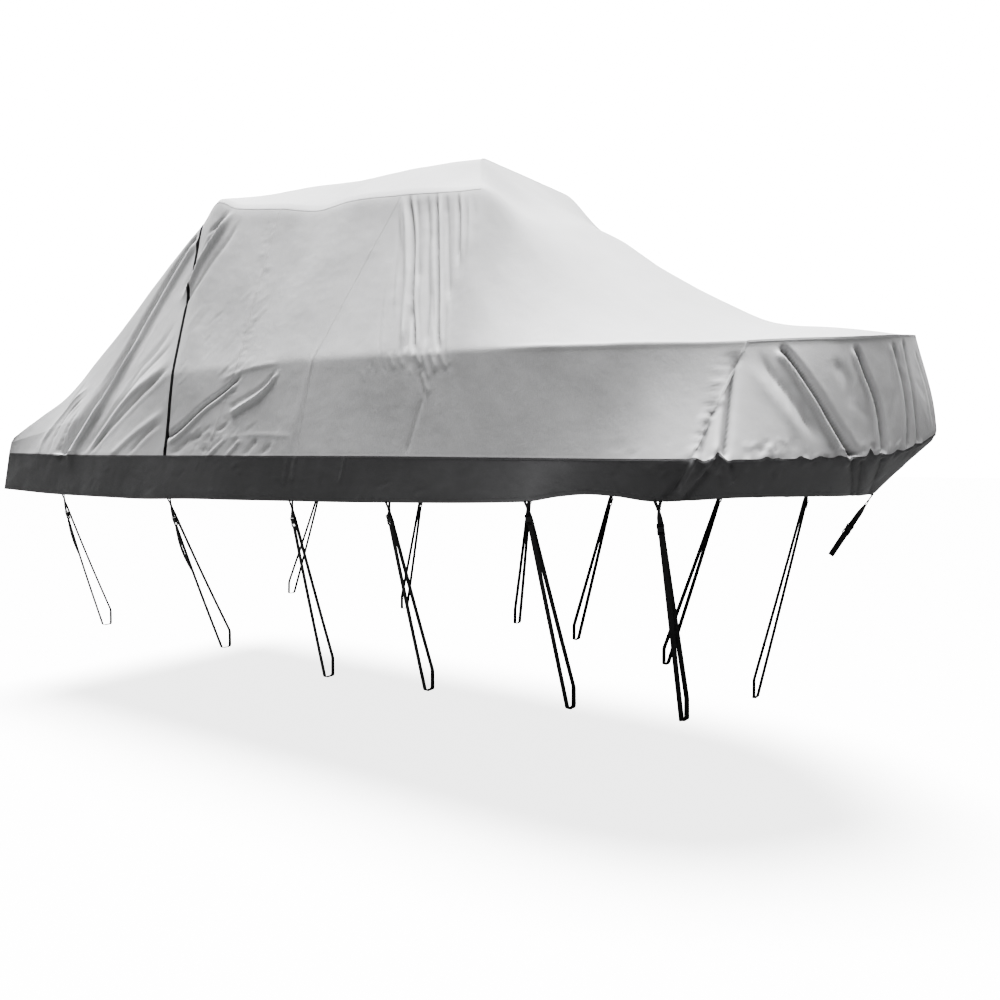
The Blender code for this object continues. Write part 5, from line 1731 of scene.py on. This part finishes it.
def make_stage():
    """A plain pale floor that throws back less light than it shows."""
    bm = bmesh.new()
    bmesh.ops.create_circle(bm, cap_ends=True, segments=FLOOR_SIDES, radius=FLOOR_RADIUS)
    mesh = bpy.data.meshes.new("floor")
    bm.to_mesh(mesh)
    bm.free()
    floor = link("floor", mesh)
    floor.location = (0.0, 0.0, FLOOR_HEIGHT)
    finish = Finish("floor_pale", FLOOR_ROUGHNESS)
    seen = finish.seen()
    inputs = finish.shader.inputs
    finish.feed(finish.between(seen, FLOOR_BOUNCE, FLOOR_TONE), inputs["Base Color"])
    finish.feed(finish.between(seen, 0.0, FLOOR_GLOW), inputs["Emission Strength"])
    inputs["Emission Color"].default_value = WHITE
    mesh.materials.append(finish.material)


def make_world():
    """Soft light from above, brightest overhead, in front of a plain pale backdrop."""
    world = bpy.data.worlds.new("studio")
    bpy.context.scene.world = world
    world.use_nodes = True
    nodes = Nodes(world.node_tree)
    place = nodes.node("ShaderNodeTexCoord").outputs["Generated"]
    height = nodes.node("ShaderNodeSeparateXYZ", {0: place}).outputs["Z"]
    sky = nodes.between(height, SKY_LOW, SKY_STRENGTH)
    mix = nodes.node("ShaderNodeMix", {"Factor": nodes.seen(), "A": sky, "B": BACKDROP_TONE})
    background = world.node_tree.nodes["Background"]
    background.inputs["Color"].default_value = WHITE
    nodes.feed(mix.outputs["Result"], background.inputs["Strength"])


def make_light():
    """One wide soft light overhead, a little to port and to the stern."""
    data = bpy.data.lights.new("overhead", "SUN")
    data.energy = KEY_STRENGTH
    data.angle = math.radians(KEY_SPREAD)
    light = link("overhead", data)
    light.rotation_euler = (-math.radians(KEY_TILT_TO_PORT), -math.radians(KEY_TILT_TO_STERN), 0.0)


def make_camera():
    """Level camera at the photograph's viewing angle, off the starboard bow."""
    data = bpy.data.cameras.new("camera")
    data.lens = FOCAL_LENGTH
    data.sensor_width = SENSOR_WIDTH
    data.shift_y = (HORIZON_PIXEL - FRAME_PIXELS / 2) / FRAME_PIXELS
    data.clip_end = 4 * FLOOR_RADIUS
    camera = link("camera", data)
    camera.location = (CAMERA_ALONG - ORIGIN_ALONG, -CAMERA_OUT, CAMERA_HEIGHT - ORIGIN_HEIGHT)
    camera.rotation_euler = (math.radians(90.0), 0.0, math.radians(CAMERA_AZIMUTH))
    bpy.context.scene.camera = camera


make_camera()
make_stage()
make_world()
make_light()
bpy.context.scene.view_settings.view_transform = "AgX"
bpy.context.scene.view_settings.look = "AgX - High Contrast"

finishes = make_materials()
cover_sides = {name: Side(name) for name in ("starboard", "port")}
make_cloth(cover_sides, finishes)
make_seams(cover_sides, finishes)
make_zip(cover_sides["starboard"], finishes)
make_side_ties(cover_sides, finishes)
make_bow_tie(cover_sides["starboard"], finishes)
